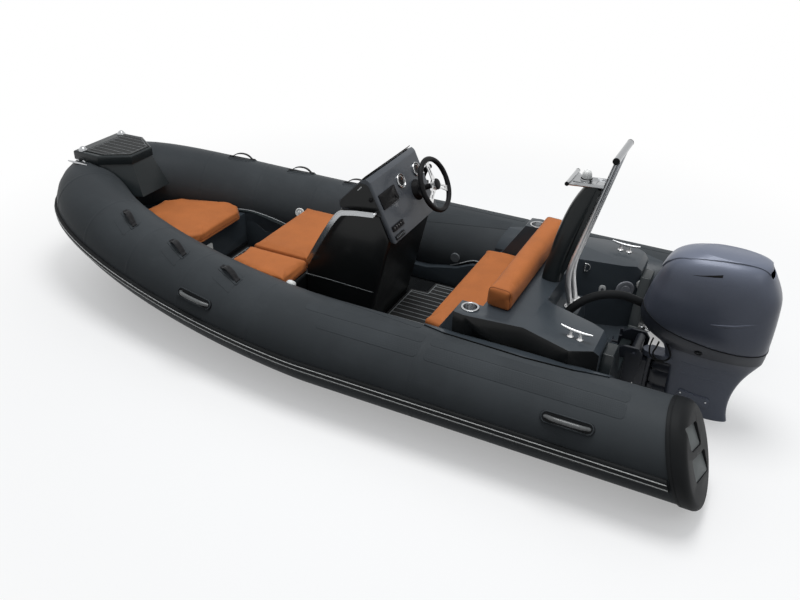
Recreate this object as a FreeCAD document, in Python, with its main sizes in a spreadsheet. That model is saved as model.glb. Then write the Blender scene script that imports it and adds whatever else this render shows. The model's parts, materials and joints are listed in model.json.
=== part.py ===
import FreeCAD, Part
import math
import os

import Sketcher

# A 4.6 m rigid inflatable boat with a console, seats, a light mast and an outboard.
# Millimetres. +X is the bow, +Y is port, +Z is up. The origin is on the centreline,
# at the aft face of the transom and at the height of the waterline.

SIZES = [
    ("TubeRadius", 250, "buoyancy tube, outside"),
    ("TubeHalfBeam", 785, "tube axis from the centreline"),
    ("TubeAxisHeight", 310, "tube axis above the waterline"),
    ("TubeBowStart", 1590, "where the tube starts to turn in"),
    ("TubeBowEnd", 3840, "tube axis on the centreline"),
    ("TubeBowRise", 223, "rise of the tube axis at the bow"),
    ("TubeAftEnd", 420, "end of the tube behind the transom"),
    ("TubeRake", 20, "rake of the tube end, degrees"),
    ("CapLength", 125, "rubber end cap"),
    ("CapProud", 7, "end cap above the tube"),
    ("CapRound", 55, "round of the end cap"),
    ("FitGap", 0.5, "clearance where a piece is glued to the tube"),
    ("RailHeight", 66, "rub rail"),
    ("RailProud", 20, "rub rail above the tube"),
    ("StripeHeight", 7, "white line on the rub rail"),
    ("StripeProud", 2.5, "white line above the rail"),
    ("HandleLength", 270, "moulded carry handle"),
    ("StrapLength", 190, "strap handle"),
    ("StrapWidth", 42, "strap handle"),
    ("StrapRise", 38, "strap handle above the tube"),
    ("KeelDepth", 280, "keel below the waterline at the transom"),
    ("KeelFlat", 2250, "straight length of the keel"),
    ("StemEnd", 3740, "forward end of the stem"),
    ("StemRise", 520, "rise of the keel at the stem"),
    ("ChineHalfBeam", 590, "chine from the centreline"),
    ("ChineDepth", 40, "chine below the waterline"),
    ("ChineFlat", 38, "width of the chine flat"),
    ("StrakeSize", 26, "spray strake"),
    ("DeckHeight", 100, "cockpit deck above the waterline"),
    ("TransomThick", 60, "transom"),
    ("TransomHeight", 300, "engine cut-out above the waterline"),
    ("TransomCutout", 250, "half width of the engine cut-out"),
    ("LinerHalfWidth", 500, "inside of the cockpit liner"),
    ("LinerHeight", 200, "liner top above the waterline"),
    ("PadThick", 6, "foam deck pad"),
    ("QuarterHeight", 662, "quarter deck at the seat"),
    ("QuarterAftHeight", 622, "quarter deck at the transom"),
    ("QuarterBevel", 30, "bevel of the quarter deck over the transom"),
    ("QuarterFront", 840, "forward edge of the quarter deck"),
    ("SeatFront", 1070, "front of the aft seat moulding"),
    ("SeatHeight", 375, "aft seat moulding"),
    ("SeatBack", 720, "front of the bench back"),
    ("SeatHalfWidth", 530, "half width of the seat recess"),
    ("CushionThick", 82, "seat cushion"),
    ("BackrestDepth", 148, "backrest roll, fore and aft"),
    ("BackrestHeight", 116, "backrest roll"),
    ("BackrestHalfWidth", 523, "backrest roll"),
    ("WellFront", 440, "forward wall of the splash well"),
    ("WellFloor", 200, "floor of the splash well"),
    ("WellHalfWidth", 290, "splash well at its forward wall"),
    ("WellAftHalfWidth", 415, "splash well at the transom"),
    ("CupRadius", 40, "cup holder"),
    ("CupDepth", 70, "cup holder"),
    ("CupX", 775, "cup holder forward of the transom"),
    ("CupY", 580, "cup holder from the centreline"),
    ("ConsoleHalfWidth", 300, "console"),
    ("ConsoleFootAft", 1550, "console at the deck"),
    ("ConsoleAft", 1400, "console under the dash"),
    ("ConsoleFront", 1985, "forward face of the console"),
    ("DashFoot", 770, "height of the lower edge of the dash"),
    ("DashFootX", 1362, "lower edge of the dash"),
    ("DashTop", 1112, "height of the upper edge of the dash"),
    ("DashTopX", 1532, "upper edge of the dash"),
    ("PodFrontX", 1735, "forward edge of the pod"),
    ("PodFrontHeight", 965, "forward edge of the pod"),
    ("HelmOffset", -145, "helm from the centreline"),
    ("HelmAlong", 176, "helm above the lower edge of the dash"),
    ("WheelRadius", 170, "steering wheel"),
    ("WheelStandoff", 132, "steering wheel from the dash"),
    ("WheelRim", 15, "radius of the steering wheel rim"),
    ("FrontSeatAft", 1990, "front seat"),
    ("FrontSeatFront", 2440, "front seat"),
    ("FrontSeatHeight", 400, "front seat moulding"),
    ("FrontSeatPort", 545, "front seat, port end"),
    ("FrontSeatStarboard", -450, "front seat, starboard end"),
    ("FrontSeatSeam", 245, "seam between the front cushions"),
    ("LockerAft", 2900, "aft face of the bow locker"),
    ("LockerHeight", 365, "bow locker"),
    ("BowCushionThick", 80, "bow cushion"),
    ("PlatformTop", 835, "bow platform above the waterline"),
    ("PlatformThick", 62, "bow platform"),
    ("PlatformFront", 3915, "bow platform"),
    ("PlatformHalfWidth", 222, "bow platform"),
    ("MastTube", 16, "radius of the mast tube"),
    ("MastSpread", 50, "mast leg from the centreline"),
    ("MastTop", 1450, "mast above the waterline"),
    ("MastBarHalf", 156, "half length of the mast cross bar"),
    ("TiltX", -48, "tilt tube from the transom"),
    ("TiltZ", 345, "tilt tube above the waterline"),
    ("TiltPin", 12, "radius of the tilt tube"),
    ("ClampHalfWidth", 92, "inside of the clamp bracket"),
    ("ClampThick", 16, "clamp bracket plate"),
    ("SwivelX", -118, "steering axis from the transom"),
    ("SwivelRadius", 34, "swivel tube"),
    ("SwivelPin", 15, "radius of the steering shaft"),
    ("SideGap", 6, "gap between the swivel and clamp brackets"),
    ("PinGap", 0.4, "running clearance on a pin"),
    ("CowlFront", -31, "engine cowl"),
    ("CowlAft", -712, "engine cowl"),
    ("CowlTop", 1015, "engine cowl above the waterline"),
    ("CowlHalfWidth", 191, "engine cowl"),
    ("CowlWall", 4, "engine cowl"),
    ("PanBottom", 430, "lower cowling above the waterline"),
    ("PlateHeight", -205, "anti-ventilation plate"),
    ("PlateAft", -742, "anti-ventilation plate"),
    ("PropShaft", -402, "propeller shaft below the waterline"),
    ("PropFront", -560, "front of the propeller hub"),
    ("PropRadius", 165, "propeller"),
    ("HubRadius", 42, "propeller hub"),
    ("SkegBottom", -610, "skeg"),
    ("EyeBore", 14, "radius of the towing eyes"),
    ("HoseRadius", 24, "rigging hose"),
]

doc = FreeCAD.newDocument("RibBoat")
sheet = doc.addObject("Spreadsheet::Sheet", "Sizes")
for row, (alias, number, note) in enumerate(SIZES, start=1):
    sheet.set(f"A{row}", alias)
    sheet.set(f"B{row}", str(number))
    sheet.set(f"C{row}", note)
    sheet.setAlias(f"B{row}", alias)
doc.recompute()


class Size:
    """A number that remembers the sheet expression it comes from."""

    def __init__(self, text, number):
        self.text = text
        self.number = float(number)

    def __float__(self):
        return self.number

    def joined(self, other, sign, number, flipped=False):
        text = other.text if isinstance(other, Size) else f"{float(other):.6f}"
        pair = (text, self.text) if flipped else (self.text, text)
        return Size(f"({pair[0]} {sign} {pair[1]})", number)

    def __add__(self, other):
        return self.joined(other, "+", self.number + float(other))

    def __radd__(self, other):
        return self.joined(other, "+", float(other) + self.number, flipped=True)

    def __sub__(self, other):
        return self.joined(other, "-", self.number - float(other))

    def __rsub__(self, other):
        return self.joined(other, "-", float(other) - self.number, flipped=True)

    def __mul__(self, other):
        return self.joined(other, "*", self.number * float(other))

    def __rmul__(self, other):
        return self.joined(other, "*", float(other) * self.number, flipped=True)

    def __truediv__(self, other):
        return self.joined(other, "/", self.number / float(other))

    def __neg__(self):
        return Size(f"(0 - {self.text})", -self.number)


class SheetSizes:
    """Gives each alias of the sheet as an attribute."""

    def __getattr__(self, alias):
        return Size(f"Sizes.{alias}", sheet.get(alias))


S = SheetSizes()
NODES = []


def vector(x, y, z):
    return FreeCAD.Vector(float(x), float(y), float(z))


def bind(obj, prop, size):
    """Set a property, through the sheet where the size comes from it."""
    if isinstance(size, Size):
        obj.setExpression(prop, size.text)
    else:
        setattr(obj, prop, size)


def place(obj, x, y, z, axis=(0, 0, 1), angle=0):
    obj.Placement = FreeCAD.Placement(vector(x, y, z), FreeCAD.Rotation(vector(*axis), float(angle)))
    for name, size in (("x", x), ("y", y), ("z", z)):
        if isinstance(size, Size):
            obj.setExpression(f"Placement.Base.{name}", size.text)
    return obj


def node(obj, name):
    """Name a finished sub-part, which becomes one file."""
    obj.Label = name
    NODES.append(obj)
    return obj


def box(x, y, z):
    """A box between pairs of limits."""
    obj = doc.addObject("Part::Box", "Block")
    for prop, (low, high) in (("Length", x), ("Width", y), ("Height", z)):
        bind(obj, prop, high - low)
    return place(obj, x[0], y[0], z[0])


AXES = {"x": ((0, 1, 0), 90), "y": ((1, 0, 0), -90), "z": ((0, 0, 1), 0)}


def cylinder(start, along, length, radius):
    obj = doc.addObject("Part::Cylinder", "Rod")
    bind(obj, "Radius", radius)
    bind(obj, "Height", length)
    axis, angle = AXES[along]
    return place(obj, *start, axis, angle)


def combine(kind, base, others):
    if kind == "Part::Cut":
        for other in others:
            obj = doc.addObject(kind, "Cut")
            obj.Base = base
            obj.Tool = other
            base = obj
        return base
    obj = doc.addObject(kind, "Joined")
    obj.Shapes = [base] + list(others)
    return obj


def cut(base, *tools):
    return combine("Part::Cut", base, tools)


def fuse(first, *others):
    return combine("Part::MultiFuse", first, others)


def common(first, *others):
    return combine("Part::MultiCommon", first, others)


def group(*parts):
    """Separate solids of one sub-part."""
    obj = doc.addObject("Part::Compound", "Group")
    obj.Links = list(parts)
    return obj


def feature(shape, name="Form"):
    """A computed shape, for forms that no primitive or sketch makes."""
    obj = doc.addObject("Part::Feature", name)
    obj.Shape = shape
    return obj


def mirrored(obj):
    """The starboard copy of a port piece."""
    other = doc.addObject("Part::Mirroring", "Starboard")
    other.Source = obj
    other.Base = (0, 0, 0)
    other.Normal = (0, 1, 0)
    return other


def both_sides(obj):
    return group(obj, mirrored(obj))


def outline(sketch, points):
    """Draw a closed polygon whose corners are tied to the sheet."""
    count = len(points)
    corners = [vector(p, q, 0) for p, q in points]
    for index, corner in enumerate(corners):
        sketch.addGeometry(Part.LineSegment(corner, corners[(index + 1) % count]), False)
    for index in range(count):
        sketch.addConstraint(Sketcher.Constraint("Coincident", index, 2, (index + 1) % count, 1))
    for index, corner in enumerate(points):
        for kind, size in zip(("DistanceX", "DistanceY"), corner):
            number = sketch.addConstraint(Sketcher.Constraint(kind, -1, 1, index, 1, float(size)))
            if isinstance(size, Size):
                sketch.setExpression(f"Constraints[{number}]", size.text)


def body(plane, points, low, high):
    """A padded outline. The pad runs from low to high along the plane's normal.

    The planes are XY, YZ and XZ, and the normal of XZ is -Y.
    """
    made = doc.addObject("PartDesign::Body", "Body")
    sketch = made.newObject("Sketcher::SketchObject", "Outline")
    support = next(one for one in made.Origin.OriginFeatures if one.Role == f"{plane}_Plane")
    sketch.AttachmentSupport = [(support, "")]
    sketch.MapMode = "FlatFace"
    sketch.AttachmentOffset = FreeCAD.Placement(vector(0, 0, low), FreeCAD.Rotation())
    if isinstance(low, Size):
        sketch.setExpression("AttachmentOffset.Base.z", low.text)
    outline(sketch, points)
    pad = made.newObject("PartDesign::Pad", "Pad")
    pad.Profile = sketch
    bind(pad, "Length", high - low)
    doc.recompute()
    return made


def slab(points, half_width):
    """A side profile (X, Z) that is symmetric about the centreline."""
    return body("XZ", points, -half_width, half_width)


def both_ways(points):
    """A port outline (X, Y), closed by its mirror image."""
    return list(points) + [(x, -y) for x, y in reversed(points)]


def soften(made, radius, pick):
    """Fillet the edges of a body for which pick says yes."""
    tip = made.Tip
    edges = [f"Edge{index}" for index, edge in enumerate(tip.Shape.Edges, start=1) if pick(edge)]
    fillet = made.newObject("PartDesign::Fillet", "Fillet")
    fillet.Base = (tip, edges)
    bind(fillet, "Radius", radius)
    doc.recompute()
    return made


def along(axis):
    """Says whether a straight edge runs along an axis."""
    index = "xyz".index(axis)

    def test(edge):
        if len(edge.Vertexes) != 2:
            return False
        way = edge.Vertexes[1].Point - edge.Vertexes[0].Point
        return way.Length > 1 and abs(way[index]) > 0.999 * way.Length

    return test


def at_height(level):
    """Says whether an edge lies in the level plane."""

    def test(edge):
        limits = edge.BoundBox
        return abs(limits.ZMin - float(level)) < 0.1 and abs(limits.ZMax - float(level)) < 0.1

    return test


def rod_path(points):
    """Straight runs that are joined by tangent arcs."""
    corners = [vector(*point) for point in points]
    edges = []
    start = corners[0]
    for before, corner, after in zip(corners, corners[1:], corners[2:]):
        inward = (before - corner).normalize()
        onward = (after - corner).normalize()
        turn = math.pi - inward.getAngle(onward)
        reach = 0.45 * min((before - corner).Length, (after - corner).Length)
        bend = reach / math.tan(turn / 2)
        first = corner + inward * reach
        last = corner + onward * reach
        middle_way = (inward + onward).normalize()
        middle = corner + middle_way * (bend / math.cos(turn / 2) - bend)
        edges.append(Part.LineSegment(start, first).toShape())
        edges.append(Part.Arc(first, middle, last).toShape())
        start = last
    edges.append(Part.LineSegment(start, corners[-1]).toShape())
    return Part.Wire(edges)


def rod_shape(points, radius):
    """A round bar along straight runs and arcs."""
    direction = vector(*points[1]) - vector(*points[0])
    ring = Part.Wire(Part.makeCircle(float(radius), vector(*points[0]), direction))
    return rod_path(points).makePipeShell([ring], True, False)


def ring_points(centre, across, up, half_width, half_height, power=2.0, count=16):
    """Points of a superellipse in the plane of two directions."""
    points = []
    for step in range(count):
        turn = 2 * math.pi * step / count
        c, s = math.cos(turn), math.sin(turn)
        p = half_width * math.copysign(abs(c) ** (2 / power), c)
        q = half_height * math.copysign(abs(s) ** (2 / power), s)
        points.append(centre + across * p + up * q)
    return points


def smooth_ring(points):
    curve = Part.BSplineCurve()
    curve.interpolate(Points=points, PeriodicFlag=True)
    return Part.Wire(curve.toShape())


# Buoyancy tubes

def tube_axis(turn):
    """Port tube axis in the bow, from turn 0 at its start to 90 degrees on the centreline."""
    c, s = math.cos(math.radians(turn)), math.sin(math.radians(turn))
    start, end = float(S.TubeBowStart), float(S.TubeBowEnd)
    x = start + (end - start) * s ** (2 / 1.3)
    y = float(S.TubeHalfBeam) * max(c, 0.0) ** (2 / 2.66)
    share = max(0.0, (x - start) / (end - start))
    return vector(x, y, S.TubeAxisHeight + S.TubeBowRise * share ** 2)


BOW_TURNS = (10, 20, 30, 40, 50, 60, 68, 75, 81, 86, 90)


def tube_stations():
    """Points on the port tube axis in the bow, with the direction of the axis there."""
    bow = float(S.TubeBowStart)
    stations = []
    for x in (bow - 160, bow - 80, bow):
        stations.append((vector(x, S.TubeHalfBeam, S.TubeAxisHeight), vector(1, 0, 0)))
    for turn in BOW_TURNS:
        point = tube_axis(turn)
        if turn == 90:
            way = vector(0, -1, 0)
        else:
            way = (tube_axis(turn + 0.5) - tube_axis(turn - 0.5)).normalize()
        stations.append((point, way))
    return stations


def tube_frame(way):
    """The outward and upward directions square to the tube axis."""
    outward = vector(0, 0, 1).cross(way).normalize()
    return outward, way.cross(outward).normalize()


def band(wire_at):
    """One section carried along the port tube, straight aft and lofted in the bow."""
    stations = tube_stations()
    wires = [wire_at(point, way) for point, way in stations]
    aft = -float(S.TubeAftEnd) - float(S.TubeRadius)
    run = stations[0][0].x - aft
    straight = Part.Face(wires[0]).extrude(vector(-run, 0, 0))
    return straight.fuse(Part.makeLoft(wires, True, False))


def tube_shape(radius):
    def section(point, way):
        return Part.Wire(Part.makeCircle(float(radius), point, way))

    return band(section)


def raked_block(offset, length):
    """A block across both tubes behind the raked plane that ends them.

    The offset moves its forward face aft of that plane.
    """
    side, wide = 2000.0, 3000.0
    block = Part.makeBox(float(length), wide, side)
    block.translate(vector(-float(length), -wide / 2, -side / 2))
    block.rotate(vector(0, 0, 0), vector(0, 1, 0), float(S.TubeRake))
    shift = float(offset) / math.cos(math.radians(float(S.TubeRake)))
    block.translate(vector(-S.TubeAftEnd - shift, 0, S.TubeAxisHeight))
    return block


port_tube = tube_shape(S.TubeRadius).cut(raked_block(0, 900))
port_tube = feature(port_tube, "PortTube")
port_clear = feature(tube_shape(S.TubeRadius + S.FitGap), "PortTubeClearance")
starboard_clear = mirrored(port_clear)
node(port_tube, "tube_port")
node(mirrored(port_tube), "tube_starboard")


def arc_band(inner, outer, low, high):
    """A section that hugs the tube between two radii and two angles in degrees."""
    def section(point, way):
        outward, up = tube_frame(way)

        def at(radius, turn):
            angle = math.radians(turn)
            return point + outward * (radius * math.cos(angle)) + up * (radius * math.sin(angle))

        middle = (low + high) / 2
        return Part.Wire([
            Part.Arc(at(inner, low), at(inner, middle), at(inner, high)).toShape(),
            Part.LineSegment(at(inner, high), at(outer, high)).toShape(),
            Part.Arc(at(outer, high), at(outer, middle), at(outer, low)).toShape(),
            Part.LineSegment(at(outer, low), at(inner, low)).toShape(),
        ])

    return band(section).cut(raked_block(-8, 900))


def make_rub_rail():
    inner = float(S.TubeRadius) + 0.3
    outer = inner + float(S.RailProud)
    spread = math.degrees(float(S.RailHeight) / inner) / 2
    middle = -5
    rail = arc_band(inner, outer, middle - spread, middle + spread).cut(port_clear.Shape)
    rail = rail.fuse(rail.mirror(vector(0, 0, 0), vector(0, 1, 0))).removeSplitter()
    node(feature(rail, "RubRail"), "rub_rail")
    lines = []
    for side in (-0.42, 0.42):
        centre = middle + spread * side
        half = math.degrees(float(S.StripeHeight) / outer) / 2
        line = arc_band(outer + 0.1, outer + float(S.StripeProud), centre - half, centre + half)
        lines.append(line.fuse(line.mirror(vector(0, 0, 0), vector(0, 1, 0))).removeSplitter())
    node(feature(Part.makeCompound(lines), "RubRailLines"), "rub_rail_lines")


def make_end_caps():
    """Rubber caps over the raked tube ends, each with two recessed windows."""
    radius = float(S.TubeRadius + S.CapProud)
    drum = Part.makeCylinder(radius, 800, vector(-900, S.TubeHalfBeam, S.TubeAxisHeight), vector(1, 0, 0))
    front = raked_block(0.2, 900)
    back = raked_block(S.CapLength, 900)
    cap = drum.common(front).cut(back)
    aft_faces = sorted(cap.Faces, key=lambda face: face.CenterOfMass.x)
    cap = cap.makeFillet(float(S.CapRound), aft_faces[0].Edges)
    depth = 9.0
    tools = []
    for low, high, near, far in ((30, 150, 20, 120), (-150, 5, 30, 165)):
        window = Part.makeBox(depth * 4, far - near, high - low)
        window = window.makeFillet(18, [edge for edge in window.Edges if along("x")(edge)])
        window.translate(vector(-depth * 4, near, low))
        window.rotate(vector(0, 0, 0), vector(0, 1, 0), float(S.TubeRake))
        shift = (float(S.CapLength) - depth) / math.cos(math.radians(float(S.TubeRake)))
        window.translate(vector(-S.TubeAftEnd - shift, S.TubeHalfBeam, S.TubeAxisHeight))
        tools.append(window)
    cap = cap.cut(Part.makeCompound(tools))
    node(both_sides(feature(cap, "EndCap")), "tube_end_caps")


make_rub_rail()
make_end_caps()


# Hull

def hull_sections():
    """Half sections of the hull as (x, keel, chine, chine flat, sheer) points."""
    sections = []
    stem = float(S.StemEnd)
    flat = float(S.KeelFlat)
    for x in (0, 600, 1200, 1800, 2250, 2600, 2900, 3150, 3380, 3560, 3690, stem):
        fore = max(0.0, (x - flat) / (stem - flat))
        share = max(0.0, (x - 1400) / (stem - 1400))
        keel = -float(S.KeelDepth) + float(S.StemRise) * fore ** 2.4
        narrow = (1 - share ** 2.6) ** 0.62 if share < 1 else 0.0
        chine = float(S.ChineHalfBeam) * narrow + 14
        chine_height = -float(S.ChineDepth) + 300 * share ** 2.2
        flat_width = float(S.ChineFlat) * (1 - 0.75 * share)
        sheer = float(S.ChineHalfBeam) * narrow + 95 - 60 * share
        sheer_height = max(float(S.DeckHeight), float(S.DeckHeight) + 205 * max(0.0, (x - 2600) / 1140) ** 1.3)
        sections.append((x, keel, (chine, chine_height), (chine + flat_width, chine_height + 4),
                         (sheer, sheer_height)))
    return sections


def make_hull():
    wires = []
    for x, keel, chine, flat, sheer in hull_sections():
        port = [chine, flat, sheer]
        corners = [(0, keel)] + port + [(-y, z) for y, z in reversed(port)]
        points = [vector(x, y, z) for y, z in corners]
        wires.append(Part.makePolygon(points + [points[0]]))
    hull = Part.makeLoft(wires, True, False)
    size = float(S.StrakeSize)
    strakes = []
    for share in (0.36, 0.68):
        triangles = []
        for x, keel, chine, flat, sheer in hull_sections()[:8]:
            y = chine[0] * share
            z = keel + (chine[1] - keel) * share
            slope = math.atan2(chine[1] - keel, chine[0])
            inside = vector(x, y - size * math.cos(slope), z - size * math.sin(slope) + 6)
            outside = vector(x, y + size * 0.5, z + size * 0.5 * math.tan(slope) + 6)
            edge = vector(x, y + size * 0.5, z - size * 0.35)
            triangles.append(Part.makePolygon([inside, outside, edge, inside]))
        strake = Part.makeLoft(triangles, True, False)
        strakes += [strake, strake.mirror(vector(0, 0, 0), vector(0, 1, 0))]
    hull = hull.fuse(strakes)
    keel_bar = Part.makeBox(float(S.KeelFlat) - 300, 26, 22)
    keel_bar.translate(vector(150, -13, -S.KeelDepth - 12))
    hull = hull.fuse(keel_bar)
    whole = feature(hull, "HullForm")
    cockpit = box((-10, S.LockerAft), (-800, 800), (S.DeckHeight, 600))
    bored = cut(whole, cockpit, port_clear, starboard_clear)
    node(bored, "hull_shell")


def make_transom():
    shoulder = 520
    corners = [(S.TransomCutout, S.TransomHeight), (S.TransomCutout + 45, 420),
               (S.TransomCutout + 150, 560), (shoulder, 560), (690, S.DeckHeight + 0.2)]
    outlined = corners + [(-y, z) for y, z in reversed(corners)]
    board = body("YZ", outlined, 0, S.TransomThick)
    node(cut(board, port_clear, starboard_clear), "transom")


make_hull()
make_transom()


# Cockpit

def make_liner():
    """A low moulded curb between the deck and each tube."""
    gap = S.FitGap
    profile = body("XZ", [
        (S.SeatFront + 2, S.DeckHeight), (S.SeatFront + 2, S.LinerHeight + 110),
        (S.SeatFront + 110, S.LinerHeight + 98), (S.SeatFront + 210, S.LinerHeight + 52),
        (S.SeatFront + 440, S.LinerHeight), (S.FrontSeatAft - 2, S.LinerHeight),
        (S.FrontSeatAft - 2, S.DeckHeight)], -700, -10)
    plan = body("XY", [
        (S.SeatFront, S.LinerHalfWidth), (S.FrontSeatAft, S.LinerHalfWidth),
        (S.FrontSeatAft, 690), (S.SeatFront, 690)], S.DeckHeight, 400)
    aft = cut(common(profile, plan), port_clear)
    fore_profile = body("XZ", [
        (S.FrontSeatFront + 1, S.DeckHeight), (S.FrontSeatFront + 1, S.LinerHeight),
        (S.LockerAft - 140, S.LinerHeight + 35), (S.LockerAft - 1, S.LockerHeight - 10),
        (S.LockerAft - 1, S.DeckHeight)], -700, -10)
    fore_plan = body("XY", [
        (S.FrontSeatFront, S.LinerHalfWidth - 45), (S.LockerAft, 330),
        (S.LockerAft, 600), (S.FrontSeatFront, 670)], S.DeckHeight, 400)
    fore = cut(common(fore_profile, fore_plan), port_clear)
    side = group(aft, fore)
    node(both_sides(side), "cockpit_liner")


def make_deck_pads():
    """Foam pads on the aft and forward cockpit floors."""
    edge = S.LinerHalfWidth - 25
    low = S.DeckHeight
    high = S.DeckHeight + S.PadThick
    aft = body("XY", both_ways([(S.SeatFront + 25, edge), (S.ConsoleFootAft - 132, edge),
                                (S.ConsoleFootAft - 130, S.ConsoleHalfWidth + 32),
                                (S.ConsoleFootAft - 12, S.ConsoleHalfWidth + 24)]), low, high)
    fore = body("XY", both_ways([(S.FrontSeatFront + 20, edge - 45), (S.LockerAft - 20, 300)]), low, high)
    node(group(aft, fore), "deck_pads")


def make_front_seat():
    base = body("XY", [(S.FrontSeatAft, S.FrontSeatStarboard), (S.FrontSeatFront - 25, S.FrontSeatStarboard),
                       (S.FrontSeatFront - 25, 660), (S.FrontSeatAft, 680)],
                S.DeckHeight, S.FrontSeatHeight)
    soften(base, 18, lambda edge: at_height(S.FrontSeatHeight)(edge) and along("y")(edge))
    node(cut(base, port_clear, starboard_clear), "front_seat_base")
    top = S.FrontSeatHeight + S.CushionThick
    low = S.FrontSeatHeight + 0.3
    port = body("XY", [(S.FrontSeatAft + 3, S.FrontSeatSeam + 1.5), (S.FrontSeatFront, S.FrontSeatSeam + 1.5),
                       (S.FrontSeatFront, S.FrontSeatPort - 30), (S.FrontSeatAft + 3, S.FrontSeatPort)],
                low, top)
    port = soften(port, 14, at_height(top))
    port_cushion = cut(port, port_clear)
    starboard = body("XY", [(S.FrontSeatAft + 3, S.FrontSeatSeam - 1.5),
                            (S.FrontSeatFront, S.FrontSeatSeam - 1.5),
                            (S.FrontSeatFront, S.FrontSeatStarboard), (S.FrontSeatAft + 3, S.FrontSeatStarboard)],
                     low, top)
    starboard = soften(starboard, 14, at_height(top))
    node(port_cushion, "front_cushion_port")
    node(cut(starboard, starboard_clear), "front_cushion_starboard")


def make_bow_locker():
    """The moulding under the bow cushion, and the cushion."""
    plan = both_ways([(S.LockerAft, 420), (S.LockerAft + 300, 520), (3500, 330), (3620, 120)])
    block = body("XY", plan, S.DeckHeight, S.LockerHeight)
    hull_room = doc.getObjectsByLabel("hull_shell")[0]
    locker = cut(block, port_clear, starboard_clear, hull_room)
    node(locker, "bow_locker")
    frame = body("YZ", [(75, S.DeckHeight + 80), (165, S.DeckHeight + 80), (165, S.DeckHeight + 205),
                        (75, S.DeckHeight + 205)], S.LockerAft - 9, S.LockerAft)
    frame = soften(frame, 16, along("x"))
    node(frame, "locker_vent")
    low = S.LockerHeight + 0.3
    top = S.LockerHeight + S.BowCushionThick
    cushion = body("XY", both_ways([(S.LockerAft - 52, 215), (S.LockerAft + 15, 300), (S.LockerAft + 190, 350),
                                    (S.LockerAft + 400, 290), (S.LockerAft + 565, 110)]), low, top)
    cushion = soften(cushion, 16, at_height(top))
    node(cut(cushion, port_clear, starboard_clear), "bow_cushion")


make_liner()
make_deck_pads()
make_front_seat()
make_bow_locker()


# Bow platform

def make_bow_platform():
    top = S.PlatformTop
    low = S.PlatformTop - S.PlatformThick
    half = S.PlatformHalfWidth
    plate = body("XY", both_ways([(S.PlatformFront, half), (S.PlatformFront - 225, half + 8),
                                  (S.PlatformFront - 415, 105)]), low, top)
    soften(plate, 12, at_height(top))
    skirt = Part.makeLoft([
        Part.makePolygon([vector(x, y, float(low)) for x, y in (
            (3908, 214), (3692, 222), (3508, 100), (3508, -100), (3692, -222), (3908, -214), (3908, 214))]),
        Part.makePolygon([vector(x, y, 560) for x, y in (
            (3960, 226), (3680, 262), (3410, 140), (3410, -140), (3680, -262), (3960, -226), (3960, 226))]),
    ], True, True)
    carrier = fuse(plate, feature(skirt, "Skirt"))
    node(cut(carrier, port_clear, starboard_clear), "bow_platform")
    inset = 26
    pad = body("XY", both_ways([(S.PlatformFront - 78, half - inset), (S.PlatformFront - 238, half - inset),
                                (S.PlatformFront - 402, 105 - inset / 3)]), top, top + 5)
    rooms = [cylinder((S.PlatformFront - 58, side * 190, top - 5), "z", 20, 31) for side in (1, -1)]
    node(cut(pad, *rooms), "bow_platform_pad")
    lamps = []
    for side in (1, -1):
        foot = cylinder((S.PlatformFront - 58, side * 190, top), "z", 8, 30)
        dome = doc.addObject("Part::Sphere", "Dome")
        dome.Radius = 24
        dome.Angle1 = 0
        place(dome, S.PlatformFront - 58, side * 190, top + 6)
        lamps.append(fuse(foot, dome))
    node(group(*lamps), "bow_lamps")


def cleat(x, y, deck, length, turn):
    """A horn cleat: a tapered bar on two feet with a base each."""
    height = 42
    half = length / 2
    bar = Part.makeLoft([
        Part.Wire(Part.makeCircle(radius, vector(where, 0, height + lift), vector(1, 0, 0)))
        for where, radius, lift in ((-half, 5, 3), (-half * 0.5, 8, 0), (0, 9, 0), (half * 0.5, 8, 0), (half, 5, 3))
    ], True, False)
    for where in (-26, 26):
        post = Part.makeCylinder(7, height, vector(where, 0, 0))
        base = Part.makeCylinder(15, 5, vector(where, 0, 0))
        bar = bar.fuse([post, base])
    bar.rotate(vector(0, 0, 0), vector(0, 0, 1), turn)
    return bar.translated(vector(x, y, deck))


make_bow_platform()


# Aft moulding: seat, quarter decks and splash well

def quarter_level(x):
    """Height of the quarter deck at a distance forward of the transom."""
    aft = S.TransomThick + S.QuarterBevel
    slope = (S.QuarterHeight - S.QuarterAftHeight) / (S.CupX - aft)
    return S.QuarterAftHeight + slope * (x - aft)


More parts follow.
